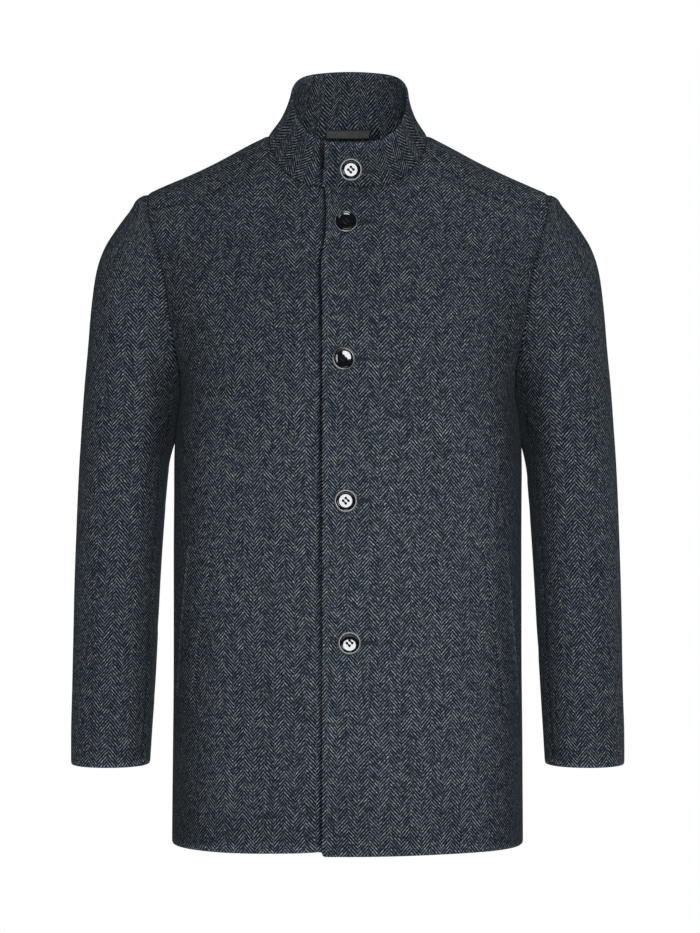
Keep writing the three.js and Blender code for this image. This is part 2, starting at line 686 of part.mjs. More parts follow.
// A tape that hangs inside the back of the collar's seam, made from the collar's points
function neckLoop() {
  const points = [];
  const normals = [];
  const reach = Math.asin(LOOP_HALF_WIDTH / NECK_HALF_WIDTH);
  for (let r = 0; r <= 1; r += 1) {
    for (let c = 0; c <= LOOP_COLUMNS; c += 1) {
      const angle = mix(Math.PI - reach, Math.PI + reach, c / LOOP_COLUMNS);
      const normal = collarNormal(angle, LOOP_LEVEL).setZ(0).normalize();
      const point = collarPoint(angle, 0).addScaledVector(normal, -COLLAR_CLOTH);
      points.push(point.setZ(LOOP_TOP_Z - LOOP_HEIGHT * (1 - r)));
      normals.push(normal);
    }
  }
  return wall(points, normals, gridFaces(1, LOOP_COLUMNS), LOOP_THICKNESS);
}

// Finishes
const wool = (color) => new THREE.MeshStandardMaterial({ color, roughness: 0.95, metalness: 0 });
const bodyWool = wool(0x363d45);
const sleeveWool = wool(0x32393f);
const horn = new THREE.MeshStandardMaterial({ color: 0x0b0d10, roughness: 0.18, metalness: 0 });
const tape = new THREE.MeshStandardMaterial({ color: 0x14171b, roughness: 0.8, metalness: 0 });

const coat = new THREE.Group();

function add(name, geometry, material) {
  const mesh = new THREE.Mesh(geometry, material.clone());
  mesh.name = name;
  coat.add(mesh);
  return mesh;
}

add('front_left', frontLeft(), bodyWool);
add('front_right', frontRight(), bodyWool);
add('back', back(), bodyWool);
add('collar', collar(), bodyWool);
for (const [name, hand] of [['left', 1], ['right', -1]]) {
  add(`top_sleeve_${name}`, topSleeve(hand), sleeveWool);
  add(`under_sleeve_${name}`, underSleeve(hand), sleeveWool);
  add(`pocket_welt_${name}`, pocketWelt(hand), bodyWool);
}
add('neck_loop', neckLoop(), tape);

const collarAngle = Math.asin(COLLAR_BUTTON.x / NECK_HALF_WIDTH);
placeButton(
  add('button_collar', button(), horn),
  collarPoint(collarAngle, COLLAR_BUTTON.rise),
  collarNormal(collarAngle, COLLAR_BUTTON.rise),
);
FRONT_BUTTONS.forEach(({ x, z }, index) => {
  const chart = chartOfXZ(x, z, -1);
  placeButton(add(`button_${index + 1}`, button(), horn), chartPoint(chart), chartNormal(chart));
});

export default coat;
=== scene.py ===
"""A short single-breasted herringbone coat with a stand collar, filled out as if worn, on a pale stage.

The surfaces are worked out in millimetres and the meshes are in metres. +Z is up, -Y is the front and
+X is the wearer's left. A panel's place is charted by turn (0 at the middle, a quarter turn at the side)
and fall (-1 at the front hem, 0 on the shoulder's top, 1 at the back hem).
"""

import math

import bmesh
import bpy
import numpy as np
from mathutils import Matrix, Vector


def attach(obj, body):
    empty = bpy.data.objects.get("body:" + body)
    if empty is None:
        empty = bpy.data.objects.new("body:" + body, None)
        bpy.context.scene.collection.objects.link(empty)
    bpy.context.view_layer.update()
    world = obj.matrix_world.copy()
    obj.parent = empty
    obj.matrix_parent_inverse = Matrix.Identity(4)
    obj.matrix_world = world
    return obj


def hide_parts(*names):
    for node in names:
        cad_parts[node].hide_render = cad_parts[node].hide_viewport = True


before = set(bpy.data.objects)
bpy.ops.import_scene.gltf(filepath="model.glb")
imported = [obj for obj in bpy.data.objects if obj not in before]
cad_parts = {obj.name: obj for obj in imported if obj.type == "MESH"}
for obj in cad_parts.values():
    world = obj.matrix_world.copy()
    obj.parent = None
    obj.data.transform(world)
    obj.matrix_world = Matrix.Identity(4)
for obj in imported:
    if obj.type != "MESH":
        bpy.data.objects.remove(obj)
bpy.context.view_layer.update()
MM = 0.001

# Cloth
CLOTH = 2.5
COLLAR_CLOTH = 3
SEAM_GAP = 0.35
SEAM_TUCK = 0.25
SEAM_DIP = 1.0
SEAM_DIP_WIDTH = 2.4
SEAM_CALM = 16
EDGE_ROUND = 3.2
EDGE_SHARE = 0.45
WEAR_WIDTH = 5
# Painted shade: a dark strip along each seam and along a lap's edge, by depth and width in millimetres
SEAM_SHADE = {"depth": 0.5, "width": 1.3}
LAP_SHADE = {"depth": 0.75, "width": 1.6}
LAP_WEAR = 0.4

# Shoulders and hem
NECK_HALF_WIDTH = 89
NECK_POINT_Z = -2
SHOULDER_SLOPE = 0.487
SHOULDER_HALF_WIDTH = 224
RIDGE_SOFTNESS = 20
SHOULDER_SAG = 3
HEM_Z = -791
LEFT_HEM_DROP = 1.5
RIGHT_HEM_DROP = -3
HEM_DROP_REACH = 150
HEM_CORNER = 4.5
HEM_CORNER_HEIGHT = 5 * HEM_CORNER

# Body sections
SECTION_POWER = 2.5
ROLL_POWER = 0.4
ROLL_HEIGHT = 200
BODY = {
    "level": (0, 0.08, 0.118, 0.169, 0.257, 0.29, 0.325, 0.36, 0.4, 0.48, 0.7, 1),
    "half_width": (243, 241, 237, 228, 200, 190.5, 187, 190.5, 193.7, 194.3, 194.5, 195.8),
    "front": (86, 89, 92, 102, 113, 115, 117, 117.5, 118, 119, 121, 124),
    "back": (134, 134, 134, 134, 132, 130, 128, 126, 125, 123, 124, 129),
}

# Neckline, shoulder seam and armhole
NECK_DROP_FRONT = 98
NECK_DROP_BACK = 20
NECK_POWER_FRONT = 1.25
NECK_POWER_BACK = 1.6
SHOULDER_SEAM_DROP = 36
SHOULDER_SEAM_NECK_ANGLE = math.radians(71.5)
ARMHOLE_STEPS = 32
ARMHOLE_BOTTOM_Z = -287
ARMHOLE_FRONT_DEPTH = 58
ARMHOLE_BACK_DEPTH = 68
SHOULDER_SEAM_STEP = 3
ARMHOLE = {
    "z": (-179, -155, -137, -119, -91, -67),
    "front": (200.5, 205, 209, 214.5, 222, 224),
    "back": (209, 214, 217.5, 221, 224, 224),
}

# Front edges and the lap
FRONT_EDGE = 29
UNDER_EDGE = 22
LAP_START = 58
LAP_FULL = 32
LAP_FLAT = LAP_FULL - 12
LAP_GAP = 1.5
LAP_GROOVE = {"x": -32, "width": 3.2, "depth": 2.4}
UNDER_SHADE = {"depth": 0.85, "start": -4.4, "end": -1.8}
EDGE_SWAY_REACH = 22
EDGE_SWAY = {"z": (-780, -200, -150, -118, -80, -40), "shift": (1, 1, 0, 4.5, 5, 1)}

# Grids: the solids' rows, each split for the fine cloth
SPLIT = 7
SIDE_ROWS = 10
FRONT_EDGE_ROWS = 6
BACK_MIDDLE_ROWS = 9
FRONT_NECK_ROWS = 7
BACK_NECK_ROWS = 10
FRONT_COLUMNS = 12
BACK_COLUMNS = 10
EDGE_STEPS = (0.12, 0.3, 0.6)

# Points closer than these lengths are made one, in metres
HALVES_JOIN = 2e-6
PROFILE_WELD = 1e-6
DOUBLES_WELD = 1e-7

# Collar
COLLAR_HALF_WIDTH = 66
COLLAR_HALF_DEPTH = 72
COLLAR_LEAN = 2.5
COLLAR_FLARE = 1.6
COLLAR_ROWS = 30
COLLAR_TOP = {
    "angle": (0, 27, 45, 60, 75, 90, 105, 125, 150, 180),
    "z": (-17, -14, -5, 8, 25, 44, 58, 70, 77, 80),
}

# Sleeves
SLEEVE = {
    "row": tuple(range(17)),
    "out_x": (224, 233, 246.5, 261, 273, 281.5, 287, 290.8, 294.6, 297.6, 300.4, 303, 305, 306.2, 306.8,
              307.4, 307),
    "out_z": (-67, -72.5, -89, -109, -129, -155, -195, -240, -283, -330, -380, -440, -500, -560, -620,
              -663, -701.5),
    "in_x": (187, 187.8, 188.6, 189.6, 190.9, 192.3, 194, 195.6, 198.2, 200.4, 203.2, 206.6, 209.6, 212.2,
             215, 217.4, 219.4),
    "in_z": (-287, -290.5, -294.5, -299, -304, -310, -318, -330, -350, -374, -409, -458, -511, -567, -624,
             -665, -701.5),
    "half_depth": (62, 64, 66, 68, 70, 71.5, 72.5, 72.5, 71.5, 70, 68, 65, 62, 59, 56, 54, 52.5),
    "middle_y": (4, 4, 4, 4, 4, 4, 4, 4, 3, 2, 1, -1, -5, -10, -16, -21, -25),
    "armhole": (1, 0.8, 0.55, 0.3, 0.12, 0, 0, 0, 0, 0, 0, 0, 0, 0, 0, 0, 0),
}
SLEEVE_POWER = 2.15
FORE_SEAM_STEP = 13
HIND_SEAM_STEP = 23
SLEEVE_SPLIT = 6
SLEEVE_ROW_SPLIT = 8
SLEEVE_SEAM_BLEND = 0.45
SLEEVE_CALM_ROWS = 1.2
UNDER_SLEEVE_SHIFT = 0.4
SLEEVE_AXIS = {
    "top_x": 237, "low_x": 263, "top_y": 4, "low_y": -25, "top_z": -100, "low_z": -701,
    "top_wide": 47, "low_wide": 44, "top_deep": 73, "low_deep": 53, "head_x": 281, "head_height": 92,
}
UNDERARM_TOUCH = {"z": -325, "spread": 29, "reach": 7, "steps": 4.5}
HEAD_ROLL = {"height": 1.6, "row": 0.9, "spread": 0.55, "steps": 8}

# Pocket welts
WELT_LENGTH = 165
WELT_LOW_X = 169
WELT_LOW_Z = -635
WELT_TURN = 0.25
WELT_LEAN = 0.19
WELT_END_RISE = 13
WELT_THICKNESS = 2
WELT_COLUMNS = 24
WELT_ROWS = 60
WELT_CLOTH_SHIFT = (0.0052, 0.0013)

# Neck loop
LOOP_HALF_WIDTH = 25
LOOP_TOP_Z = 13
LOOP_LEVEL = 0.05
LOOP_HEIGHT = 11
LOOP_THICKNESS = 1.2
LOOP_COLUMNS = 60
LOOP_ROWS = 10

# Buttons: profile from the shank up over the rim to the middle of the dish
BUTTON_PROFILE = (
    (0, 0.35), (3, 0.35), (3, 1.6), (10.3, 1.6), (11.6, 2), (12.3, 2.9), (12.5, 3.9), (12.35, 4.8),
    (11.9, 5.45), (11.3, 5.72), (10.6, 5.65), (10, 5.3), (9.5, 4.8), (8.9, 4.5), (8, 4.32), (6, 4.1),
    (4, 3.96), (2, 3.88), (0, 3.85),
)
BUTTON_SEGMENTS = 96
BUTTON_RADIUS = 12.5
HOLE_RADIUS = 1.5
HOLE_SPREAD = 2.9
HOLE_FLOOR = 1.9
HOLE_SIDES = 20
HOLE_TOP = 8
STRANDS = {
    "radius": 0.36, "sides": 8, "points": 15, "spacing": 0.5, "low": 2.4, "rise": 2.05, "settle": 0.12,
}
HOLE_LENGTH = 29
HOLE_HALF = 1.9
STITCH_STEP = 0.62
STITCH_FAN = 7
STITCHES = {
    "radius": 0.3, "sides": 6, "points": 6, "turn": 0.1, "reach": (0.88, 1.12), "start": 0.25, "low": 0.12,
    "rise": 0.42,
}
HOLE_SHIFT = 2
COLLAR_BUTTON = {"x": 3, "rise": 0.32, "lift": 2, "faces": (1.2, -4)}
FRONT_BUTTONS = (
    {"x": -2, "z": -107.5, "faces": (3, 17)},
    {"x": -5, "z": -256, "faces": (7.5, 6)},
    {"x": -2, "z": -409, "faces": (1, 2.2)},
    {"x": 2, "z": -562, "faces": (1, 1)},
)

# Creases as soft ridges (height above 0) and troughs (below 0), each along a line in the front view
CREASE_COLUMNS = ("x0", "z0", "x1", "z1", "width", "height")
FRONT_CREASES = (
    (112, -400, 116, -690, 13, 1.9),
    (134, -420, 137, -700, 13, -1.6),
    (60, -560, 66, -760, 20, 1.1),
    (-136, -430, -139, -740, 15, 1.5),
    (-154, -450, -156, -720, 12, -1.2),
    (-70, -480, -62, -740, 24, 0.9),
    (186, -205, 128, -300, 15, -1.9),
    (192, -255, 150, -345, 11, -1.3),
    (-186, -210, -132, -296, 15, -1.8),
    (-191, -262, -146, -338, 11, -1.2),
    (-70, -48, -92, -120, 20, -2.4),
    (72, -52, 96, -112, 18, -1.7),
    (40, -262, 108, -238, 15, -0.8),
    (-44, -250, -104, -232, 15, -0.8),
    (20, -330, 70, -318, 11, 0.6),
    (12, -480, 60, -470, 11, 0.5),
)
BACK_CREASES = (
    (-78, -330, 84, -342, 24, -1.7),
    (-60, -372, 52, -364, 17, 1),
    (-104, -460, -98, -770, 22, 1.7),
    (-70, -520, -66, -780, 18, -1.2),
    (92, -440, 99, -760, 24, 1.6),
    (58, -540, 62, -785, 18, -1.1),
    (188, -200, 130, -300, 16, -2),
    (-189, -208, -134, -292, 16, -1.9),
    (-100, -110, -60, -190, 26, 1.1),
    (100, -108, 62, -184, 26, 1.2),
    (-40, -45, 38, -47, 13, -1),
)
LEFT_SLEEVE_CREASES = (
    (204, -392, 262, -340, 14, -2.2),
    (206, -430, 268, -392, 12, -1.6),
    (212, -372, 250, -336, 9, 1),
    (288, -350, 250, -318, 16, -1),
    (244, -470, 262, -600, 16, -1.3),
    (214, -585, 250, -560, 14, -1.4),
    (222, -655, 262, -640, 13, -1.3),
    (292, -560, 286, -680, 12, -0.9),
    (236, -170, 246, -300, 18, 1.3),
)
RIGHT_SLEEVE_CREASES = (
    (204, -380, 256, -334, 15, -2),
    (207, -424, 264, -380, 12, -1.8),
    (290, -366, 252, -330, 15, -1),
    (246, -450, 256, -590, 17, -1.3),
    (212, -560, 248, -530, 13, -1.2),
    (220, -640, 258, -618, 14, -1.5),
    (294, -520, 289, -660, 12, -0.8),
    (238, -180, 247, -310, 18, 1.2),
)
COLLAR_CREASES = (
    (46, 2, 44, -42, 8, -2.6),
    (58, 10, 57, -34, 6, 1),
    (-27, -18, -25, -40, 5, 0.8),
    (-58, 20, -54, -20, 9, -1.1),
)
COLLAR_SEAM_GROOVE = {"z": 15.5, "width": 1.1, "depth": 1.1, "behind": 25}
COLLAR_ROUND = 76
COLLAR_SEAM_BLEND = 0.14
COLLAR_FRONT_DEPTH = 30
COLLAR_UNEVEN = {"height": 0.7, "tighter": 1.6}
UNEVEN_WAVES = 14
UNEVEN_HEIGHT = 0.42
UNEVEN_LONGEST = 0.19
SEEDS = {
    "front_left": 11, "front_right": 12, "back": 13, "collar": 14, "left_sleeve": 15, "right_sleeve": 16,
    "stitches": 21,
}

# Shades in the cloth's colour: how dark, ramps by (start, end) and humps by (middle, reach)
BODY_SHADES = (
    {"depth": 0.58, "ramps": {"width": (136, 194), "z": (-90, -330)}},
    {"depth": 0.62, "humps": {"width": (197, 18), "z": (-322, 62)}},
    {"depth": 0.26, "humps": {"width": (0, 92), "z": (-62, 46)}},
    {"depth": 0.16, "ramps": {"z": (-680, -790)}},
    {"depth": 0.08, "ramps": {"x": (-20, -70)}},
)
CHEST_SHADE = {"depth": 0.16, "ramp": (-400, -170), "fade": 0.8, "fade_ramp": (-160, -80)}
SLEEVE_SHADE = {"depth": 0.45, "near": (2, 34), "ramp": (-170, -330), "hump": (-330, 70), "light": 0.86}
COLLAR_SHADE = {"inside": 0.22, "front": 0.27}

# Weave
HERRINGBONE_HALF = 0.01135
TWILL_PITCH = 0.0041
TWILL_SLOPE = 1.12
STITCH_PITCH = 0.0048
YARN_LENGTH = 0.0048
FLECK_LENGTH = 0.0026
FIBRE_SCALE = 760.0
RIB_PITCH = 0.0009
PLY_PITCH = 0.0006

# Camera and light
CAMERA_PLACE = (0.0026, -3.15, -0.372)
CAMERA_LENS = 108.5
FLOOR_Z = -1.45
FLOOR_HALF = 3.0
COOL, NEAR_WHITE, WHITE = (0.96, 0.98, 1), (0.97, 0.98, 1), (1, 1, 1)
# Each light's place, target, width and height, power and colour
LIGHTS = {
    "front_box": ((0.15, -3.7, -0.15), (0, 0, -0.4), (1.8, 1.8), 103, COOL),
    "right_box": ((1.9, -2.9, 0.5), (0, 0, -0.4), (0.9, 1.4), 16, NEAR_WHITE),
    "top_box": ((0, -0.8, 2.0), (0, 0, -0.2), (1.2, 1.0), 5, WHITE),
    "back_box": ((0.2, 3.7, 0.6), (0, 0, -0.35), (1.4, 1.3), 85, WHITE),
}
WORLD_GLOW = ((0.93, 0.96, 1, 1), 0.06)
WORLD_BACKDROP = ((1, 1, 1, 1), 1.0)


def read(table, key, at, column):
    """Reads a table's column at a place, by a smooth curve through its rows."""
    keys = np.array(table[key], float)
    values = np.array(table[column], float)
    slopes = np.zeros(len(keys))
    slopes[1:-1] = (values[2:] - values[:-2]) / (keys[2:] - keys[:-2])
    at = np.clip(at, keys[0], keys[-1])
    row = np.clip(np.searchsorted(keys, at) - 1, 0, len(keys) - 2)
    width = keys[row + 1] - keys[row]
    t = (at - keys[row]) / width
    start = values[row] * (1 + 2 * t) * (1 - t) ** 2 + slopes[row] * width * t * (1 - t) ** 2
    return start + values[row + 1] * (3 - 2 * t) * t**2 - slopes[row + 1] * width * t**2 * (1 - t)


def mix(a, b, t):
    return a + (b - a) * t


def smooth_step(start, end, value):
    t = np.clip((value - start) / (end - start), 0, 1)
    return t * t * (3 - 2 * t)


def hump(value, middle, reach):
    return np.exp(-(((value - middle) / reach) ** 2))


def unit(vectors):
    return vectors / np.maximum(np.linalg.norm(vectors, axis=-1, keepdims=True), 1e-9)


def mirrored(vectors):
    return vectors * np.array([-1, 1, 1])


def mirror_panel(points, normals, cloth):
    return mirrored(points), mirrored(normals), cloth * np.array([-1, 1])


def grid_of(down, across):
    """A grid of pairs: the first value goes by its rows and the second by its columns."""
    return np.stack(np.meshgrid(down, across, indexing="ij"), axis=-1)


# The body's surface


def shoulder_z(x):
    along = np.clip((np.abs(x) - NECK_HALF_WIDTH) / (SHOULDER_HALF_WIDTH - NECK_HALF_WIDTH), 0, 1)
    sag = SHOULDER_SAG * np.sin(np.pi * along) ** 2
    neck = math.hypot(NECK_HALF_WIDTH, RIDGE_SOFTNESS)
    return NECK_POINT_Z + SHOULDER_SLOPE * (neck - np.hypot(x, RIDGE_SOFTNESS)) - sag


def level_at(x, z):
    return (shoulder_z(x) - z) / (shoulder_z(x) - HEM_Z)


def roll(drop):
    t = np.clip(drop / ROLL_HEIGHT, 0, 1)
    return (1 - (1 - t) ** 2) ** ROLL_POWER


def body_point(turn, fall):
    level = np.abs(fall) ** (1 / ROLL_POWER)
    sine = np.minimum(np.abs(np.sin(turn)), 1)
    x = read(BODY, "level", level, "half_width") * np.sin(turn)
    z = mix(shoulder_z(x), HEM_Z, level)
    depth = np.where(fall < 0, read(BODY, "level", level, "front"), read(BODY, "level", level, "back"))
    rounded = np.maximum(1 - sine**SECTION_POWER, 0) ** (1 / SECTION_POWER)
    return np.stack([x, np.sign(fall) * depth * roll(shoulder_z(x) - z) * rounded, z], axis=-1)


def body_normal(turn, fall):
    step = 1e-3
    limit = math.pi / 2
    across = body_point(np.minimum(turn + step, limit), fall)
    across -= body_point(np.maximum(turn - step, -limit), fall)
    along = body_point(turn, np.minimum(fall + step, 1)) - body_point(turn, np.maximum(fall - step, -1))
    return unit(np.cross(across, along))


def on_body(charts):
    """The body's points and normals at a grid of charts."""
    turn, fall = charts[..., 0], charts[..., 1]
    return body_point(turn, fall), body_normal(turn, fall)


def chart_of_xz(x, z, side):
    level = np.maximum(level_at(x, z), 0)
    turn = np.arcsin(np.clip(x / read(BODY, "level", level, "half_width"), -1, 1))
    return np.stack([turn, side * level**ROLL_POWER * np.ones_like(turn)], axis=-1)


def chart_of_yz(y, z, side):
    x = np.full(np.broadcast(y, z).shape, 190.0)
    for _ in range(12):
        level = level_at(x, z)
        width = read(BODY, "level", level, "half_width")
        depth = read(BODY, "level", level, "front" if side < 0 else "back") * roll(shoulder_z(x) - z)
        x = width * np.maximum(1 - (np.abs(y) / depth) ** SECTION_POWER, 0) ** (1 / SECTION_POWER)
    return np.stack([np.arcsin(np.clip(x / width, -1, 1)), side * level**ROLL_POWER], axis=-1)


def neck_chart(angle):
    x = NECK_HALF_WIDTH * np.sin(angle)
    ahead = np.cos(angle)
    drop = np.where(
        ahead > 0,
        NECK_DROP_FRONT * np.maximum(ahead, 0) ** NECK_POWER_FRONT,
        NECK_DROP_BACK * np.maximum(-ahead, 0) ** NECK_POWER_BACK,
    )
    return chart_of_xz(x, shoulder_z(x) - drop, np.where(ahead > 0, -1, 1))


ARMHOLE_TOP_Z = float(shoulder_z(SHOULDER_HALF_WIDTH))


def armhole_chart(step, side):
    """The armhole's chart by steps round it, on the front (-1) or the back (1)."""
    angle = step / ARMHOLE_STEPS * 2 * np.pi
    z = mix(ARMHOLE_BOTTOM_Z, ARMHOLE_TOP_Z, (1 + np.cos(angle)) / 2)
    upper = chart_of_xz(read(ARMHOLE, "z", z, "front" if side < 0 else "back"), z, side)
    depth = ARMHOLE_FRONT_DEPTH if side < 0 else ARMHOLE_BACK_DEPTH
    lower = chart_of_yz(depth * np.abs(np.sin(angle)), z, side)
    return np.where((np.cos(angle) > 0.01)[..., None], upper, lower)


def armhole_at(step):
    """The armhole's chart by steps round it, down the front and up the back."""
    step = step % ARMHOLE_STEPS
    return np.where((step < ARMHOLE_STEPS / 2)[..., None], armhole_chart(step, -1), armhole_chart(step, 1))


def shoulder_seam(columns):
    neck = neck_chart(np.array(SHOULDER_SEAM_NECK_ANGLE))
    arm = armhole_chart(np.array(float(SHOULDER_SEAM_STEP)), -1)
    neck_point, arm_point = body_point(*neck), body_point(*arm)
    neck_drop = shoulder_z(neck_point[0]) - neck_point[2]
    arm_drop = shoulder_z(arm_point[0]) - arm_point[2]
    u = np.linspace(0, 1, columns + 1)
    x = mix(neck_point[0], arm_point[0], u)
    bulge = 4 * u * (1 - u) * (SHOULDER_SEAM_DROP - (neck_drop + arm_drop) / 2)
    return chart_of_xz(x, shoulder_z(x) - mix(neck_drop, arm_drop, u) - bulge, -1)


def patch(inner, outer, bottom, top):
    """A four-sided patch of charts between its inner, outer, bottom and top edges."""
    v = np.linspace(0, 1, len(inner))[:, None, None]
    u = np.linspace(0, 1, len(bottom))[None, :, None]
    sides = mix(inner[:, None], outer[:, None], u) + mix(bottom[None], top[None], v)
    return sides - mix(mix(bottom[0], bottom[-1], u), mix(top[0], top[-1], u), v)


def edge_places(count):
    """Places along a grid of so many steps, closer together at its two ends."""
    start = [0, *EDGE_STEPS]
    return np.array([*start, *range(1, count), *[count - step for step in reversed(start)]], float)


def resample(grid):
    """The same grid with more rows and columns at its edges."""
    for axis in (0, 1):
        places = edge_places(grid.shape[axis] - 1)
        low = np.minimum(places.astype(int), grid.shape[axis] - 2)
        share = (places - low).reshape([-1 if a == axis else 1 for a in range(3)])
        grid = mix(np.take(grid, low, axis), np.take(grid, low + 1, axis), share)
    return grid


def row_heights():
    return np.linspace(HEM_Z, ARMHOLE_BOTTOM_Z, SIDE_ROWS * SPLIT + 1)


def inner_edge(x, side, neck_start, edge_rows, neck_rows):
    """A panel's charts up its inner edge from the hem, then round the neck to the shoulder seam."""
    neck_top = body_point(*neck_chart(np.array(neck_start)))[2]
    up = np.linspace(ARMHOLE_BOTTOM_Z, neck_top, edge_rows * SPLIT + 1)[1:]
    line = np.concatenate([row_heights(), up])
    angles = np.linspace(neck_start, SHOULDER_SEAM_NECK_ANGLE, neck_rows * SPLIT + 1)[1:]
    return np.concatenate([chart_of_xz(np.full(line.shape, float(x)), line, side), neck_chart(angles)])


def panel_patch(inner, arm, columns, side):
    """A panel's charts between its inner edge and its side seam and armhole."""
    heights = row_heights()
    outer = np.concatenate([chart_of_yz(0 * heights, heights, side), arm])
    seam = shoulder_seam(columns)
    inner[-1], outer[-1] = seam[0], seam[-1]
    u = np.linspace(0, 1, columns + 1)
    bottom = np.stack([mix(inner[0, 0], outer[0, 0], u), np.full(u.shape, float(side))], axis=-1)
    return patch(inner, outer, bottom, seam)


def front_charts(edge):
    arm_steps = ARMHOLE_STEPS // 2 - SHOULDER_SEAM_STEP
    steps = ARMHOLE_STEPS / 2 - np.linspace(0, arm_steps, arm_steps * SPLIT + 1)[1:]
    inner = inner_edge(-edge, -1, -math.asin(edge / NECK_HALF_WIDTH), FRONT_EDGE_ROWS, FRONT_NECK_ROWS)
    return panel_patch(inner, armhole_chart(steps, -1), FRONT_COLUMNS * SPLIT, -1)


def back_charts():
    arm_steps = ARMHOLE_STEPS // 2 + SHOULDER_SEAM_STEP
    steps = ARMHOLE_STEPS / 2 + np.linspace(0, arm_steps, arm_steps * SPLIT + 1)[1:]
    front = steps > ARMHOLE_STEPS
    arm = np.where(front[:, None], armhole_chart(steps % ARMHOLE_STEPS, -1), armhole_chart(steps, 1))
    inner = inner_edge(0, 1, math.pi, BACK_MIDDLE_ROWS, BACK_NECK_ROWS)
    return panel_patch(inner, arm, BACK_COLUMNS * SPLIT, 1)


def panel_cloth(charts, samples=28):
    """Where each point lies on the flat cloth: its way round from the middle, and its way up from the hem."""
    turn, fall = charts[..., 0], charts[..., 1]
    shares = np.linspace(0, 1, samples)
    across = np.stack([body_point(turn * share, fall) for share in shares])
    around = np.hypot(np.diff(across[..., 0], axis=0), np.diff(across[..., 1], axis=0)).sum(axis=0)
    hem = np.where(fall < 0, -1.0, 1.0)
    down = np.stack([body_point(turn, mix(hem, fall, share)) for share in shares])
    up = np.hypot(np.diff(down[..., 1], axis=0), np.diff(down[..., 2], axis=0)).sum(axis=0)
    return np.stack([np.sign(turn) * around, up], axis=-1) * MM


# Soft relief of the cloth


def crease_relief(table, x, z):
    """The height of the listed ridges and troughs at a place in the front view."""
    height = np.zeros(np.broadcast(x, z).shape)
    for row in table:
        crease = dict(zip(CREASE_COLUMNS, row))
        run = np.array([crease["x1"] - crease["x0"], crease["z1"] - crease["z0"]], float)
        length = np.hypot(*run)
        run /= length
        along = ((x - crease["x0"]) * run[0] + (z - crease["z0"]) * run[1]) / length
        off = (x - crease["x0"]) * run[1] - (z - crease["z0"]) * run[0]
        inside = np.sin(np.pi * np.clip(along, 0, 1)) ** 0.7
        height += crease["height"] * inside * hump(off, 0, crease["width"])
    return height


def unevenness(u, v, seed):
    """Low irregular waves of a cloth that was worn and pressed, by its place on the flat cloth."""
    random = np.random.RandomState(seed)
    height = np.zeros(u.shape)
    for _ in range(UNEVEN_WAVES):
        length = random.uniform(0.035, UNEVEN_LONGEST)
        angle = random.uniform(-0.9, 0.9)
        phase = random.uniform(0, 2 * np.pi)
        way = (u * np.cos(angle) + v * 0.55 * np.sin(angle)) / length
        height += (length / UNEVEN_LONGEST) * np.sin(2 * np.pi * way + phase)
    return UNEVEN_HEIGHT * height / math.sqrt(UNEVEN_WAVES / 2)


# Meshes


def border_distances(points):
    """Each point's way to the grid's four borders, in millimetres."""
    down = np.linalg.norm(np.diff(points, axis=0), axis=-1)
    across = np.linalg.norm(np.diff(points, axis=1), axis=-1)
    zero_row = np.zeros((1, points.shape[1]))
    zero_column = np.zeros((points.shape[0], 1))
    low = np.concatenate([zero_row, np.cumsum(down, axis=0)])
    left = np.concatenate([zero_column, np.cumsum(across, axis=1)], axis=1)
    return {"low": low, "high": low[-1:] - low, "left": left, "right": left[:, -1:] - left}


# Each border's side, the axis across it, its own line of points and the line beside it
BORDER_LINES = (("low", 0, 0, 1), ("high", 0, -1, -2), ("left", 1, 0, 1), ("right", 1, -1, -2))


def tuck_borders(points, borders):
    """Moves the seams' borders a little past the seam line, so that two panels meet without a gap."""
    moved = points.copy()
    for side, axis, rim, near in BORDER_LINES:
        first = 0 if borders[side] == "seam" else borders.get(f"{side}_seam_from", math.inf) + 1
        if first < math.inf:
            grid = np.moveaxis(points, axis, 0)
            line = np.moveaxis(moved, axis, 0)[rim]
            line[first:] += unit(grid[rim] - grid[near])[first:] * SEAM_TUCK
    return moved


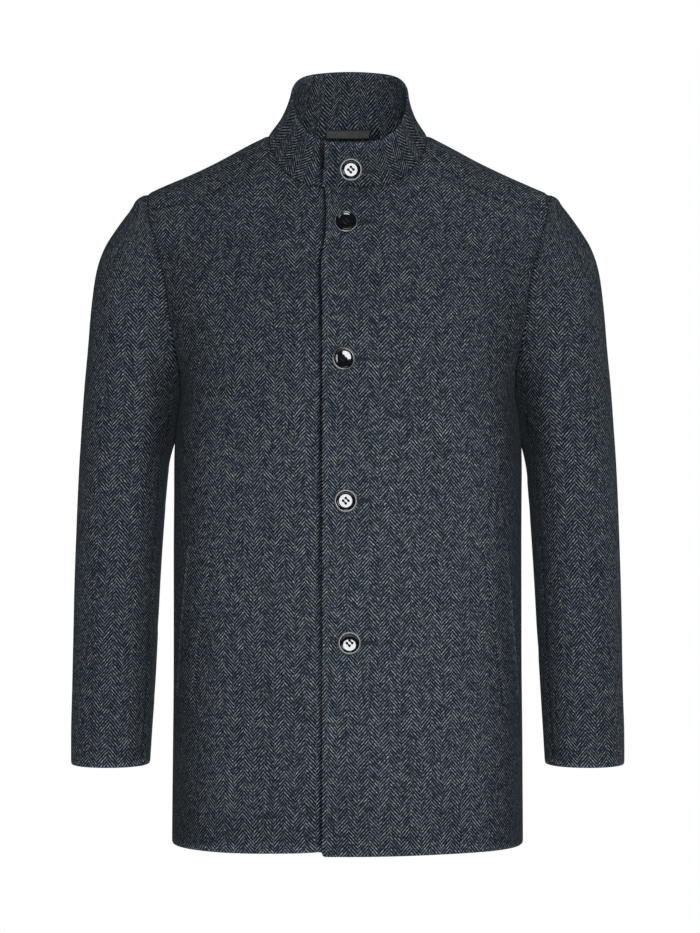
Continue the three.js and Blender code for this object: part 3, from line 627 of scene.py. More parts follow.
def shell(name, points, normals, cloth, thickness, borders, relief=0, flip=False, inner_dip=0, shade=0):
    """A closed thin wall from a grid of points, with dips at its seams and round free edges.

    borders says for low, high, left and right whether each is a seam, a free edge, a lap's edge or a join
    to the panel's other half. Where the left border turns into a seam, left_seam_from is that row. The
    point attribute holds rubbed wear and painted shade: it is above 0 where an edge is rubbed pale, and
    below 0 where shade is painted in a strip along each seam and along a lap's edge and wherever shade
    is given.
    """
    distances = border_distances(points)
    points = tuck_borders(points, borders)
    outer_dip, inner_rise, wear_and_shade, dark = (np.zeros(points.shape[:2]) for _ in range(4))
    calm = np.ones(points.shape[:2])
    for side, distance in distances.items():
        kind = borders[side]
        is_seam = np.full(distance.shape, kind == "seam")
        is_free = np.full(distance.shape, kind in ("free", "lap"))
        if side == "left" and "left_seam_from" in borders:
            rows = np.arange(distance.shape[0])[:, None] * np.ones(distance.shape[1])
            is_seam = rows > borders["left_seam_from"]
            is_free = is_free & ~is_seam
        dip = SEAM_DIP * hump(distance, 0, SEAM_DIP_WIDTH)
        outer_dip = np.maximum(outer_dip, np.where(is_seam, dip, 0))
        calm = np.minimum(calm, np.where(is_seam, smooth_step(0, SEAM_CALM, distance), 1))
        ring = 1 - np.clip(distance / EDGE_ROUND, 0, 1)
        rounded = EDGE_SHARE * thickness * (1 - np.sqrt(np.maximum(1 - ring**2, 0)))
        outer_dip = np.maximum(outer_dip, np.where(is_free, rounded, 0))
        inner_rise = np.maximum(inner_rise, np.where(is_free, rounded, 0))
        wear_and_shade = np.maximum(wear_and_shade, np.where(is_free, hump(distance, 0, WEAR_WIDTH), 0))
        # Painted shade in a strip along each seam
        painted_shade_strip = SEAM_SHADE["depth"] * hump(distance, 0, SEAM_SHADE["width"])
        dark = np.maximum(dark, np.where(is_seam, painted_shade_strip, 0))
        if kind == "lap":
            # Painted shadow along a lap's free edge, where it stands over the cloth beneath
            painted_shade_strip = LAP_SHADE["depth"] * hump(distance, 0, LAP_SHADE["width"])
            dark = np.maximum(dark, np.where(is_free, painted_shade_strip, 0))
            wear_and_shade = wear_and_shade * LAP_WEAR
    relief = relief * calm
    outer = points + normals * (relief - outer_dip)[..., None]
    inner = points + normals * (relief - thickness + inner_rise + inner_dip)[..., None]
    join_rows = borders.get("left_seam_from", 0) if borders["left"] == "join" else 0
    return grid_mesh(name, outer, inner, cloth, wear_and_shade - 1 + (1 - dark) * (1 - shade), flip, join_rows)


def grid_faces(rows, columns):
    low = np.arange(rows * (columns + 1)).reshape(rows, columns + 1)[:, :-1]
    return np.stack([low, low + 1, low + columns + 2, low + columns + 1], axis=-1).reshape(-1, 4)


def grid_mesh(name, outer, inner, cloth, wear_and_shade, flip, join_rows):
    rows, columns = outer.shape[0] - 1, outer.shape[1] - 1
    count = (rows + 1) * (columns + 1)
    faces = grid_faces(rows, columns)
    rim = [
        *[(0, c) for c in range(columns)],
        *[(r, columns) for r in range(rows)],
        *[(rows, c) for c in range(columns, 0, -1)],
        *[(r, 0) for r in range(rows, 0, -1)],
    ]
    sides = []
    for (r, c), (next_r, next_c) in zip(rim, rim[1:] + rim[:1]):
        if c or next_c or max(r, next_r) > join_rows:
            a, b = r * (columns + 1) + c, next_r * (columns + 1) + next_c
            sides.append((b, a, a + count, b + count))
    faces = np.concatenate([faces, faces[:, ::-1] + count, np.array(sides)])
    if flip:
        faces = faces[:, ::-1]
    points = np.concatenate([outer.reshape(-1, 3), inner.reshape(-1, 3)]) * MM
    flat = np.concatenate([cloth.reshape(-1, 2)] * 2)
    return make_object(name, points, faces, flat, np.concatenate([wear_and_shade.ravel()] * 2))


def make_object(name, points, faces, flat, wear_and_shade=None):
    mesh = bpy.data.meshes.new(name)
    mesh.from_pydata(points.tolist(), [], [tuple(int(i) for i in face) for face in faces])
    corners = np.empty(len(mesh.loops), dtype=np.int32)
    mesh.loops.foreach_get("vertex_index", corners)
    layer = mesh.uv_layers.new(name="cloth")
    layer.data.foreach_set("uv", flat[corners].astype(np.float32).ravel())
    wear_and_shade = np.zeros(len(points)) if wear_and_shade is None else wear_and_shade
    # One point attribute for rubbed pale edges and painted shade
    attribute = mesh.attributes.new("wear_and_shade", "FLOAT", "POINT")
    attribute.data.foreach_set("value", np.asarray(wear_and_shade, np.float32))
    mesh.polygons.foreach_set("use_smooth", np.ones(len(mesh.polygons), dtype=bool))
    mesh.update()
    piece = bpy.data.objects.new(name, mesh)
    bpy.context.scene.collection.objects.link(piece)
    return piece


def wool_piece(name, points, normals, cloth, thickness, borders, relief, material=None, **looks):
    """A node's cloth as a shell in wool, in that node's place."""
    piece = shell(f"{name}_cloth", points, normals, cloth, thickness, borders, relief, **looks)
    return finish_piece(piece, material or WOOL, "wool", name)


def finish_piece(piece, material, slot, *nodes):
    piece.data.materials.append(material)
    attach(piece, "root")
    if nodes:
        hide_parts(*nodes)
    return piece


# Materials


class Graph:
    """Adds and links the shader nodes of one material."""

    def __init__(self, name):
        self.material = bpy.data.materials.new(name)
        self.material.use_nodes = True
        self.tree = self.material.node_tree
        self.tree.nodes.clear()
        self.shader = self.tree.nodes.new("ShaderNodeBsdfPrincipled")
        output = self.tree.nodes.new("ShaderNodeOutputMaterial")
        self.tree.links.new(self.shader.outputs[0], output.inputs[0])

    def feed(self, socket, value):
        if isinstance(value, bpy.types.NodeSocket):
            self.tree.links.new(value, socket)
        elif value is not None:
            socket.default_value = value

    def add(self, kind, output=0, settings=None, **inputs):
        node = self.tree.nodes.new(kind)
        for key, value in (settings or {}).items():
            setattr(node, key, value)
        for key, value in inputs.items():
            self.feed(node.inputs[key.replace("_", " ")], value)
        return node.outputs[output]

    def shade(self, **inputs):
        """Sets or links the shader's own inputs."""
        for key, value in inputs.items():
            self.feed(self.shader.inputs[key.replace("_", " ")], value)

    def math(self, operation, *values):
        node = self.tree.nodes.new("ShaderNodeMath")
        node.operation = operation
        for socket, value in zip(node.inputs, values):
            self.feed(socket, value)
        return node.outputs[0]

    def vector(self, x, y, z=0.0):
        return self.add("ShaderNodeCombineXYZ", X=x, Y=y, Z=z)

    def noise(self, vector, scale, detail=1.0):
        return self.add("ShaderNodeTexNoise", Vector=vector, Scale=scale, Detail=detail, Roughness=0.5)

    def ramp(self, value, start, end):
        return self.add(
            "ShaderNodeMapRange",
            settings={"interpolation_type": "SMOOTHSTEP"},
            Value=value, From_Min=start, From_Max=end, To_Min=0.0, To_Max=1.0,
        )

    def mix(self, share, first, second, blend="MIX"):
        node = self.tree.nodes.new("ShaderNodeMix")
        node.data_type = "RGBA"
        node.blend_type = blend
        self.feed(node.inputs[0], share)
        self.feed(node.inputs[6], first)
        self.feed(node.inputs[7], second)
        return node.outputs[2]

    def bump(self, height, distance, strength=1.0):
        normal = self.add("ShaderNodeBump", Height=height, Distance=distance, Strength=strength)
        self.tree.links.new(normal, self.shader.inputs["Normal"])

    def cloth_place(self):
        place = self.add("ShaderNodeUVMap", settings={"uv_map": "cloth"})
        split = self.tree.nodes.new("ShaderNodeSeparateXYZ")
        self.tree.links.new(place, split.inputs[0])
        return place, split.outputs[0], split.outputs[1]


DARK_YARN = (0.0048, 0.008, 0.0154, 1)
LIGHT_YARN = (0.245, 0.27, 0.285, 1)
PALE_YARN = (0.52, 0.52, 0.48, 1)
BLUE_YARN = (0.125, 0.162, 0.2, 1)


def wool_material(name, shade=1.0):
    """Navy and grey herringbone: columns of twill lines that turn at each column's side."""
    g = Graph(name)
    place, u, v = g.cloth_place()
    sway = g.math("MULTIPLY", g.math("SUBTRACT", g.noise(place, 14.0), 0.5), 0.0035)
    rise = g.math("MULTIPLY", g.math("SUBTRACT", g.noise(place, 23.0), 0.5), 0.004)
    u = g.math("ADD", u, sway)
    v = g.math("ADD", v, rise)
    fold = g.math("PINGPONG", u, HERRINGBONE_HALF)
    column = g.math("FLOOR", g.math("DIVIDE", u, HERRINGBONE_HALF))
    odd = g.math("FLOORED_MODULO", column, 2.0)
    climb = g.math("ADD", v, g.math("MULTIPLY", fold, TWILL_SLOPE))
    phase = g.math("ADD", g.math("DIVIDE", climb, TWILL_PITCH), g.math("MULTIPLY", odd, 0.5))
    wave = g.math("SINE", g.math("MULTIPLY", phase, 2 * math.pi))
    line = g.ramp(wave, -0.38, 1.0)
    along = g.math("SUBTRACT", fold, g.math("MULTIPLY", v, TWILL_SLOPE))
    yarn = g.vector(g.math("DIVIDE", along, YARN_LENGTH), g.math("MULTIPLY", phase, 1.25),
                    g.math("MULTIPLY", column, 7.3))
    slub = g.ramp(g.noise(yarn, 1.0, 2.0), 0.36, 0.66)
    fine = g.vector(g.math("DIVIDE", along, FLECK_LENGTH), g.math("MULTIPLY", phase, 2.3),
                    g.math("MULTIPLY", column, 3.1))
    fleck = g.ramp(g.noise(fine, 1.0, 1.0), 0.56, 0.72)
    fibre = g.noise(place, FIBRE_SCALE, 2.0)
    light = g.math("MULTIPLY", line, g.math("MULTIPLY_ADD", slub, 0.8, 0.2))
    light = g.math("MULTIPLY", light, g.math("MULTIPLY_ADD", fibre, 1.2, 0.38))
    turn = g.math("MULTIPLY", slub, 5.0)
    stitch = g.math("SINE", g.math("MULTIPLY_ADD", along, 2 * math.pi / STITCH_PITCH, turn))
    light = g.math("MULTIPLY", light, g.math("MULTIPLY_ADD", stitch, 0.38, 1.12))
    tint = g.ramp(g.noise(yarn, 0.37, 1.0), 0.4, 0.62)
    pale = g.mix(tint, BLUE_YARN, LIGHT_YARN)
    pale = g.mix(fleck, pale, PALE_YARN)
    colour = g.mix(light, DARK_YARN, pale)
    mottle_wear_and_shade = g.math("MULTIPLY_ADD", g.noise(place, 9.0, 2.0), 0.2, 0.83)
    # The shade argument darkens a copy of the cloth: painted shade
    mottle_wear_and_shade = g.math("MULTIPLY", mottle_wear_and_shade, shade)
    # The point attribute makes rubbed edges paler where it is above 0 and paints shade where it is below 0
    tone_mark = g.add("ShaderNodeAttribute", output=2, settings={"attribute_name": "wear_and_shade"})
    pale_share = g.math("MULTIPLY", g.math("MAXIMUM", tone_mark, 0.0), 0.22)
    painted_shade_share = g.math("ADD", g.math("MAXIMUM", g.math("MINIMUM", tone_mark, 0.0), -0.9), 1.0)
    mottle_wear_and_shade = g.math("MULTIPLY", g.math("ADD", mottle_wear_and_shade, pale_share), painted_shade_share)
    grey = g.add("ShaderNodeCombineColor", Red=mottle_wear_and_shade, Green=mottle_wear_and_shade, Blue=mottle_wear_and_shade)
    g.shade(
        Base_Color=g.mix(1.0, colour, grey, "MULTIPLY"), Roughness=g.math("MULTIPLY_ADD", fibre, 0.12, 0.84),
        Specular_IOR_Level=0.06, Sheen_Weight=0.05, Sheen_Roughness=0.55, Sheen_Tint=(0.7, 0.8, 0.95, 1),
    )
    height = g.math("MULTIPLY_ADD", line, 0.6, g.math("MULTIPLY", fibre, 0.5))
    g.bump(height, 0.00045, 0.8)
    return g.material


def tape_material():
    """Black satin tape with a fine cross rib."""
    g = Graph("tape_satin")
    place, u, _ = g.cloth_place()
    rib = g.math("SINE", g.math("MULTIPLY", u, 2 * math.pi / RIB_PITCH))
    fibre = g.noise(place, 900.0, 2.0)
    share = g.math("MULTIPLY_ADD", rib, 0.25, g.math("MULTIPLY", fibre, 0.7))
    colour = g.mix(share, (0.006, 0.007, 0.009, 1), (0.02, 0.023, 0.028, 1))
    g.shade(Base_Color=colour, Roughness=g.math("MULTIPLY_ADD", fibre, 0.2, 0.36))
    g.bump(g.math("MULTIPLY_ADD", rib, 0.5, fibre), 0.00012)
    return g.material


def horn_material():
    """Glossy near-black horn: faint streaks, a pale rougher ring at the rim and fine rub marks."""
    g = Graph("button_horn")
    _, radius, angle = g.cloth_place()
    streak = g.noise(g.vector(g.math("MULTIPLY", radius, 9.0), g.math("MULTIPLY", angle, 1.4)), 1.6, 3.0)
    base = g.mix(g.ramp(streak, 0.45, 0.8), (0.0015, 0.0018, 0.0022, 1), (0.007, 0.009, 0.01, 1))
    # A pale ring in the colour at the rim, rougher than the rest
    rim_end = g.math("SUBTRACT", 1.0, g.ramp(radius, 0.964, 0.976))
    rim = g.math("MULTIPLY", g.ramp(radius, 0.935, 0.948), rim_end)
    tone_mark = g.math("MULTIPLY", rim, g.math("MULTIPLY_ADD", streak, 0.2, 0.85))
    scratch = g.noise(g.vector(g.math("MULTIPLY", radius, 60.0), g.math("MULTIPLY", angle, 3.0)), 3.0, 2.0)
    rough = g.math("MULTIPLY_ADD", scratch, 0.03, 0.035)
    rough = g.math("ADD", rough, g.math("MULTIPLY", rim, 0.25))
    polished = g.ramp(radius, 0.002, 0.006)
    rough = g.math("MULTIPLY_ADD", g.math("SUBTRACT", 1.0, polished), 0.9, rough)
    g.shade(
        Base_Color=g.mix(tone_mark, base, (0.36, 0.36, 0.37, 1)), Roughness=rough, Specular_IOR_Level=0.7,
        Coat_Weight=g.math("MULTIPLY", polished, 0.3), Coat_Roughness=0.05,
    )
    return g.material


def thread_material(name, dark, light):
    """Twisted sewing thread."""
    g = Graph(name)
    _, u, v = g.cloth_place()
    ply = g.math("SINE", g.math("MULTIPLY", g.math("ADD", u, v), 2 * math.pi / PLY_PITCH))
    share = g.math("MULTIPLY_ADD", ply, 0.3, 0.5)
    g.shade(Base_Color=g.mix(share, dark, light), Roughness=0.6)
    g.bump(ply, 0.0001)
    return g.material


WOOL = wool_material("wool_herringbone")
# The sleeves' wool is a slightly darker copy: painted shade
SHADED_SLEEVE_WOOL = wool_material("wool_herringbone_sleeve_shaded", 0.97)
TAPE = tape_material()
HORN = horn_material()
THREAD = thread_material("button_thread", (0.004, 0.005, 0.006, 1), (0.022, 0.025, 0.03, 1))
STITCH = thread_material("buttonhole_thread", (0.008, 0.011, 0.018, 1), (0.035, 0.045, 0.06, 1))


# The panels of the body


PANEL_BORDERS = {"low": "free", "high": "seam", "left": "seam", "right": "seam"}


def lap_groove(x):
    """The under layer sinks beside the upper layer's edge."""
    return LAP_GROOVE["depth"] * hump(x, LAP_GROOVE["x"], LAP_GROOVE["width"])


def under_lap_shade(points):
    """The painted shadow on the under layer along the upper layer's edge."""
    edge = -FRONT_EDGE + read(EDGE_SWAY, "z", points[..., 2], "shift")
    return UNDER_SHADE["depth"] * smooth_step(UNDER_SHADE["start"], UNDER_SHADE["end"], points[..., 0] - edge)


def body_shade(points):
    """The painted shade on the body: upper chest, sides, underarms, collar, hem and the wearer's right."""
    x, z = points[..., 0], points[..., 2]
    at = {"width": np.abs(x), "x": x, "z": z}
    chest = CHEST_SHADE
    fade = 1 - chest["fade"] * smooth_step(*chest["fade_ramp"], z)
    light = 1 - chest["depth"] * smooth_step(*chest["ramp"], z) * fade
    for shade in BODY_SHADES:
        dark = shade["depth"]
        for key, (start, end) in shade.get("ramps", {}).items():
            dark = dark * smooth_step(start, end, at[key])
        for key, (middle, reach) in shade.get("humps", {}).items():
            dark = dark * hump(at[key], middle, reach)
        light = light * (1 - dark)
    return 1 - light


def front_creases(points, hand):
    """The front panels' creases, which leave the lap flat."""
    relief = crease_relief(FRONT_CREASES, hand * points[..., 0], points[..., 2])
    return relief * smooth_step(LAP_FLAT, LAP_START, np.abs(points[..., 0]))


def shape_front_edge(points):
    """Rounds the upper layer's corner at the hem and lets its edge sway a little."""
    near_edge = 1 - smooth_step(-FRONT_EDGE, -FRONT_EDGE + EDGE_SWAY_REACH, points[..., 0])
    short = np.clip(HEM_CORNER - (points[..., 0] + FRONT_EDGE), 0, HEM_CORNER)
    lift = HEM_CORNER - np.sqrt(HEM_CORNER**2 - short**2)
    points[..., 2] += lift * (1 - smooth_step(0, HEM_CORNER_HEIGHT, points[..., 2] - HEM_Z))
    points[..., 0] += read(EDGE_SWAY, "z", points[..., 2], "shift") * near_edge


def make_front(hand):
    name, edge, drop, edge_kind = (
        ("front_left", FRONT_EDGE, LEFT_HEM_DROP, "lap")
        if hand > 0
        else ("front_right", UNDER_EDGE, RIGHT_HEM_DROP, "free")
    )
    charts = resample(front_charts(edge))
    points, normals = on_body(charts)
    cloth = panel_cloth(charts)
    low = 1 - smooth_step(HEM_Z, ARMHOLE_BOTTOM_Z, points[..., 2])
    middle = 1 - smooth_step(0, HEM_DROP_REACH, points[..., 0])
    points[..., 2] -= drop * low * middle
    if hand > 0:
        shape_front_edge(points)
    else:
        points[..., 1] += (CLOTH + LAP_GAP) * smooth_step(-LAP_START, -LAP_FULL, -points[..., 0])
    relief = front_creases(points, hand) + unevenness(cloth[..., 0], cloth[..., 1], SEEDS[name])
    if hand < 0:
        points, normals, cloth = mirror_panel(points, normals, cloth)
        relief -= lap_groove(points[..., 0])
    shade = body_shade(points)
    if hand < 0:
        shade = np.maximum(shade, under_lap_shade(points))
    rows = (SIDE_ROWS + FRONT_EDGE_ROWS) * SPLIT + len(EDGE_STEPS)
    borders = {**PANEL_BORDERS, "left": edge_kind, "left_seam_from": rows}
    return wool_piece(name, points, normals, cloth, CLOTH, borders, relief, flip=hand < 0, shade=shade)


def make_back():
    """Both halves of the back, joined along the middle below the neckline."""
    charts = resample(back_charts())
    rows = (SIDE_ROWS + BACK_MIDDLE_ROWS) * SPLIT + len(EDGE_STEPS)
    borders = {**PANEL_BORDERS, "left": "join", "left_seam_from": rows}
    work = bmesh.new()
    halves = []
    for hand, name in ((1, "back_cloth"), (-1, "back_half")):
        points, normals = on_body(charts)
        cloth = panel_cloth(charts)
        if hand < 0:
            points, normals, cloth = mirror_panel(points, normals, cloth)
        relief = crease_relief(BACK_CREASES, points[..., 0], points[..., 2])
        relief += unevenness(cloth[..., 0], cloth[..., 1], SEEDS["back"])
        shade = body_shade(points)
        half = shell(name, points, normals, cloth, CLOTH, borders, relief, flip=hand > 0, shade=shade)
        work.from_mesh(half.data)
        halves.append(half)
    bmesh.ops.remove_doubles(work, verts=work.verts, dist=HALVES_JOIN)
    work.to_mesh(halves[0].data)
    work.free()
    bpy.data.objects.remove(halves[1])
    return finish_piece(halves[0], WOOL, "wool", "back")


# The collar


def folded_angle(angle):
    return np.abs((angle + np.pi) % (2 * np.pi) - np.pi)


def hand_at(angle):
    return np.where(np.sin(angle) < 0, -1.0, 1.0)


def collar_seam(turned):
    step = 1e-3
    seam, normals = on_body(neck_chart(turned))
    ahead, behind = neck_chart(turned + step), neck_chart(turned - step)
    along = body_point(ahead[..., 0], ahead[..., 1]) - body_point(behind[..., 0], behind[..., 1])
    return seam + unit(np.cross(normals, along)) * SEAM_GAP


def collar_point(angle, rise):
    turned = folded_angle(angle)
    seam = collar_seam(turned)
    top_x = COLLAR_HALF_WIDTH * np.sin(turned)
    top_y = -COLLAR_HALF_DEPTH * np.cos(turned)
    top_z = read(COLLAR_TOP, "angle", np.degrees(turned), "z")
    flare = (1 - rise) ** COLLAR_FLARE
    x = hand_at(angle) * mix(top_x, seam[..., 0], flare) + COLLAR_LEAN * rise
    y = mix(top_y, seam[..., 1], flare)
    z = mix(seam[..., 2], top_z, rise)
    under = np.where((angle > np.pi) & (y < 0), smooth_step(-LAP_START, -LAP_FULL, x), 0)
    return np.stack([x, y + (COLLAR_CLOTH + LAP_GAP) * under, z], axis=-1)


def collar_normal(angle, rise):
    step = 1e-3
    around = collar_point(angle + step, rise) - collar_point(angle - step, rise)
    up = collar_point(angle, np.minimum(rise + step, 1)) - collar_point(angle, np.maximum(rise - step, 0))
    return unit(np.cross(around, up))


def make_collar():
    columns = 2 * (FRONT_NECK_ROWS + BACK_NECK_ROWS) * SPLIT
    grid = grid_of(np.linspace(0, 1, COLLAR_ROWS + 1), np.linspace(0, 1, columns + 1))
    reach = mix(NECK_HALF_WIDTH, COLLAR_HALF_WIDTH, grid[..., 0])
    start, end = -np.arcsin(FRONT_EDGE / reach), 2 * np.pi + np.arcsin(UNDER_EDGE / reach)
    charts = resample(np.stack([mix(start, end, grid[..., 1]), grid[..., 0]], axis=-1))
    angle, rise = charts[..., 0], charts[..., 1]
    points = collar_point(angle, rise)
    seam_normals = on_body(neck_chart(folded_angle(angle)))[1]
    seam_normals[..., 0] *= hand_at(angle)
    share = smooth_step(0, COLLAR_SEAM_BLEND, rise)[..., None]
    normals = unit(mix(seam_normals, collar_normal(angle, rise), share))
    cloth = np.stack([COLLAR_ROUND * angle, border_distances(points)["low"]], axis=-1) * MM
    front = np.clip(-points[..., 1] / COLLAR_FRONT_DEPTH, 0, 1)
    relief = crease_relief(COLLAR_CREASES, points[..., 0], points[..., 2]) * front
    around = cloth[..., 0] * COLLAR_UNEVEN["tighter"]
    relief += COLLAR_UNEVEN["height"] * unevenness(around, cloth[..., 1], SEEDS["collar"])
    under = (angle > np.pi) & (points[..., 1] < 0)
    relief -= np.where(under, lap_groove(points[..., 0]), 0)
    groove = COLLAR_SEAM_GROOVE
    inner_dip = groove["depth"] * hump(points[..., 2], groove["z"], groove["width"])
    inner_dip = np.where(points[..., 1] > groove["behind"], inner_dip, 0)
    shade = mix(COLLAR_SHADE["inside"], COLLAR_SHADE["front"], front)
    shade = np.maximum(shade, np.where(under, under_lap_shade(points), 0))
    borders = {"low": "seam", "high": "free", "left": "lap", "right": "free"}
    return wool_piece("collar", points, normals, cloth, COLLAR_CLOTH, borders, relief,
                      inner_dip=inner_dip, shade=shade)


# The sleeves


def sleeve_point(row, step):
    step = step % ARMHOLE_STEPS
    angle = step / ARMHOLE_STEPS * 2 * np.pi
    low_chart = armhole_chart(np.array(ARMHOLE_STEPS / 2), -1)
    arm_top = np.array([SHOULDER_HALF_WIDTH + SEAM_GAP, 0, ARMHOLE_TOP_Z])
    arm_low = body_point(*low_chart) * np.array([1, 0, 1]) + np.array([SEAM_GAP, 0, 0])
    ends = {"out_x": arm_top[0], "out_z": arm_top[2], "in_x": arm_low[0], "in_z": arm_low[2]}
    table = {key: (ends.get(key, values[0]), *values[1:]) for key, values in SLEEVE.items()}
    ring = {key: read(table, "row", row, key) for key in table if key != "row"}

    def power(value):
        return np.sign(value) * np.abs(value) ** (2 / SLEEVE_POWER)

    middle = (arm_top + arm_low) / 2
    half = (arm_top - arm_low) / 2
    facing = unit(np.array([-half[2], 0, half[0]]))
    hole = on_body(armhole_at(step))[0] + np.array([SEAM_GAP, 0, 0])
    start = hole - middle
    share = np.clip(ring["armhole"], 0, 1)
    along = mix(power(np.cos(angle)), start @ half / (half @ half), share)
    deep = mix(power(np.sin(angle)), -(hole[..., 1] - SLEEVE["middle_y"][0]) / SLEEVE["half_depth"][0], share)
    off = (start @ facing) * share
    centre = np.stack([(ring["out_x"] + ring["in_x"]) / 2, (ring["out_z"] + ring["in_z"]) / 2], axis=-1)
    reach = np.stack([(ring["out_x"] - ring["in_x"]) / 2, (ring["out_z"] - ring["in_z"]) / 2], axis=-1)
    side = unit(np.stack([-reach[..., 1], reach[..., 0]], axis=-1))
    xz = centre + reach * along[..., None] + side * off[..., None]
    return np.stack([xz[..., 0], ring["middle_y"] - deep * ring["half_depth"], xz[..., 1]], axis=-1)


def sleeve_normal(row, step):
    last = len(SLEEVE["row"]) - 1
    around = sleeve_point(row, step + 0.5) - sleeve_point(row, step - 0.5)
    down = sleeve_point(np.minimum(row + 0.2, last), step) - sleeve_point(np.maximum(row - 0.2, 0), step)
    return unit(np.cross(around, down))


def sleeve_cloth(points, step, samples=24):
    """Where each point lies on the sleeve's flat cloth, with its columns parallel to the arm."""
    x, y, z = points[..., 0], points[..., 1], points[..., 2]
    axis = SLEEVE_AXIS
    down = np.clip((axis["top_z"] - z) / (axis["top_z"] - axis["low_z"]), 0, 1)
    wide = mix(axis["top_wide"], axis["low_wide"], down)
    deep = mix(axis["top_deep"], axis["low_deep"], down)
    head = np.clip((z - axis["top_z"]) / axis["head_height"], 0, 0.99)
    reach = deep * np.sqrt(1 - head**2)
    across = (x - mix(axis["top_x"], axis["low_x"], down)) / wide
    ahead = -(y - mix(axis["top_y"], axis["low_y"], down**2)) / reach
    turn = np.arctan2(across, ahead)
    is_top = np.abs(step) < FORE_SEAM_STEP + 0.01
    turn = np.where(is_top & (turn < -2.2), turn + 2 * np.pi, turn)
    turn = np.where(~is_top & (turn > 1), turn - 2 * np.pi, turn)
    shares = (np.arange(samples) + 0.5) / samples
    arc = sum(np.hypot(wide * np.cos(turn * s), deep * np.sin(turn * s)) for s in shares) / samples
    over_head = np.clip(SLEEVE_AXIS["head_x"] - x, 0, None) * np.clip(np.cos(step / 16 * np.pi), 0, 1)
    return np.stack([turn * arc, z + 0.08 * over_head], axis=-1) * MM


def sleeve_shade(points, row):
    """The painted shade on the sleeve: a little over all of it, and more on its side beside the body."""
    z = points[..., 2]
    near = 1 - smooth_step(*SLEEVE_SHADE["near"], np.abs(points[..., 0]) - read(SLEEVE, "row", row, "in_x"))
    beside = SLEEVE_SHADE["depth"] * near
    light = (1 - beside * smooth_step(*SLEEVE_SHADE["ramp"], z)) * SLEEVE_SHADE["light"]
    return 1 - light * (1 - beside * hump(z, *SLEEVE_SHADE["hump"]))


def make_sleeve(name, start, end, hand):
    last = len(SLEEVE["row"]) - 1
    down = np.linspace(last, 0, last * SLEEVE_ROW_SPLIT + 1)
    charts = resample(grid_of(down, np.linspace(start, end, (end - start) * SLEEVE_SPLIT + 1)))
    row, step = charts[..., 0], charts[..., 1]
    points = sleeve_point(row, step)
    share = smooth_step(0, SLEEVE_SEAM_BLEND, row)[..., None]
    normals = unit(mix(on_body(armhole_at(step))[1], sleeve_normal(row, step), share))
    cloth = sleeve_cloth(points, step)
    touch = UNDERARM_TOUCH
    close = hump(points[..., 2], touch["z"], touch["spread"]) * hump(step, ARMHOLE_STEPS / 2, touch["steps"])
    points[..., 0] -= touch["reach"] * close * smooth_step(0, 1, row)
    creases = LEFT_SLEEVE_CREASES if hand > 0 else RIGHT_SLEEVE_CREASES
    relief = crease_relief(creases, points[..., 0], points[..., 2])
    roll_share = hump(row, HEAD_ROLL["row"], HEAD_ROLL["spread"]) * hump(step, 0, HEAD_ROLL["steps"])
    relief += HEAD_ROLL["height"] * roll_share
    around = cloth[..., 0] + (step > FORE_SEAM_STEP) * UNDER_SLEEVE_SHIFT
    seed = SEEDS["left_sleeve" if hand > 0 else "right_sleeve"]
    relief += unevenness(around, cloth[..., 1], seed) * smooth_step(0, SLEEVE_CALM_ROWS, row)
    if hand < 0:
        points, normals = mirrored(points), mirrored(normals)
    return wool_piece(name, points, normals, cloth, CLOTH, PANEL_BORDERS, relief, SHADED_SLEEVE_WOOL,
                      flip=hand > 0, shade=sleeve_shade(points, row))


# What lies on the panels


def make_welt(hand):
    name, front = ("pocket_welt_left", "front_left") if hand > 0 else ("pocket_welt_right", "front_right")
    low = chart_of_xz(np.array(float(WELT_LOW_X)), np.array(float(WELT_LOW_Z)), -1)
    grid = resample(grid_of(np.linspace(0, 1, WELT_ROWS + 1), np.linspace(0, 1, WELT_COLUMNS + 1)))
    v, u = grid[..., 0], grid[..., 1]
    turn = low[0] - WELT_LEAN * v + WELT_TURN * u
    z = WELT_LOW_Z + WELT_END_RISE * u + WELT_LENGTH * v
    top = shoulder_z(WELT_LOW_X)
    charts = np.stack([turn, -(((top - z) / (top - HEM_Z)) ** ROLL_POWER)], axis=-1)
    points, normals = on_body(charts)
    points += normals * (SEAM_GAP + WELT_THICKNESS)
    cloth = panel_cloth(charts)
    relief = front_creases(points, hand) + unevenness(cloth[..., 0], cloth[..., 1], SEEDS[front])
    cloth = cloth + np.array(WELT_CLOTH_SHIFT)
    if hand < 0:
        points, normals, cloth = mirror_panel(points, normals, cloth)
    borders = {"low": "lap", "high": "free", "left": "lap", "right": "free"}
    return wool_piece(name, points, normals, cloth, WELT_THICKNESS, borders, relief,
                      flip=hand < 0, shade=body_shade(points))


def make_loop():
    reach = math.asin(LOOP_HALF_WIDTH / NECK_HALF_WIDTH)
    around = np.linspace(np.pi - reach, np.pi + reach, LOOP_COLUMNS + 1)
    grid = grid_of(np.linspace(0, 1, LOOP_ROWS + 1), around)
    rise, angle = grid[..., 0], grid[..., 1]
    normals = collar_normal(angle, LOOP_LEVEL + 0 * angle)
    normals[..., 2] = 0
    normals = unit(normals)
    points = collar_point(angle, 0 * angle) - normals * COLLAR_CLOTH
    points[..., 2] = LOOP_TOP_Z - LOOP_HEIGHT * (1 - rise)
    distances = border_distances(points)
    cloth = np.stack([distances["left"], distances["low"]], axis=-1) * MM
    borders = dict.fromkeys(("low", "high", "left", "right"), "free")
    piece = shell("neck_loop_tape", points, normals, cloth, LOOP_THICKNESS, borders)
    return finish_piece(piece, TAPE, "tape", "neck_loop")


# Buttons


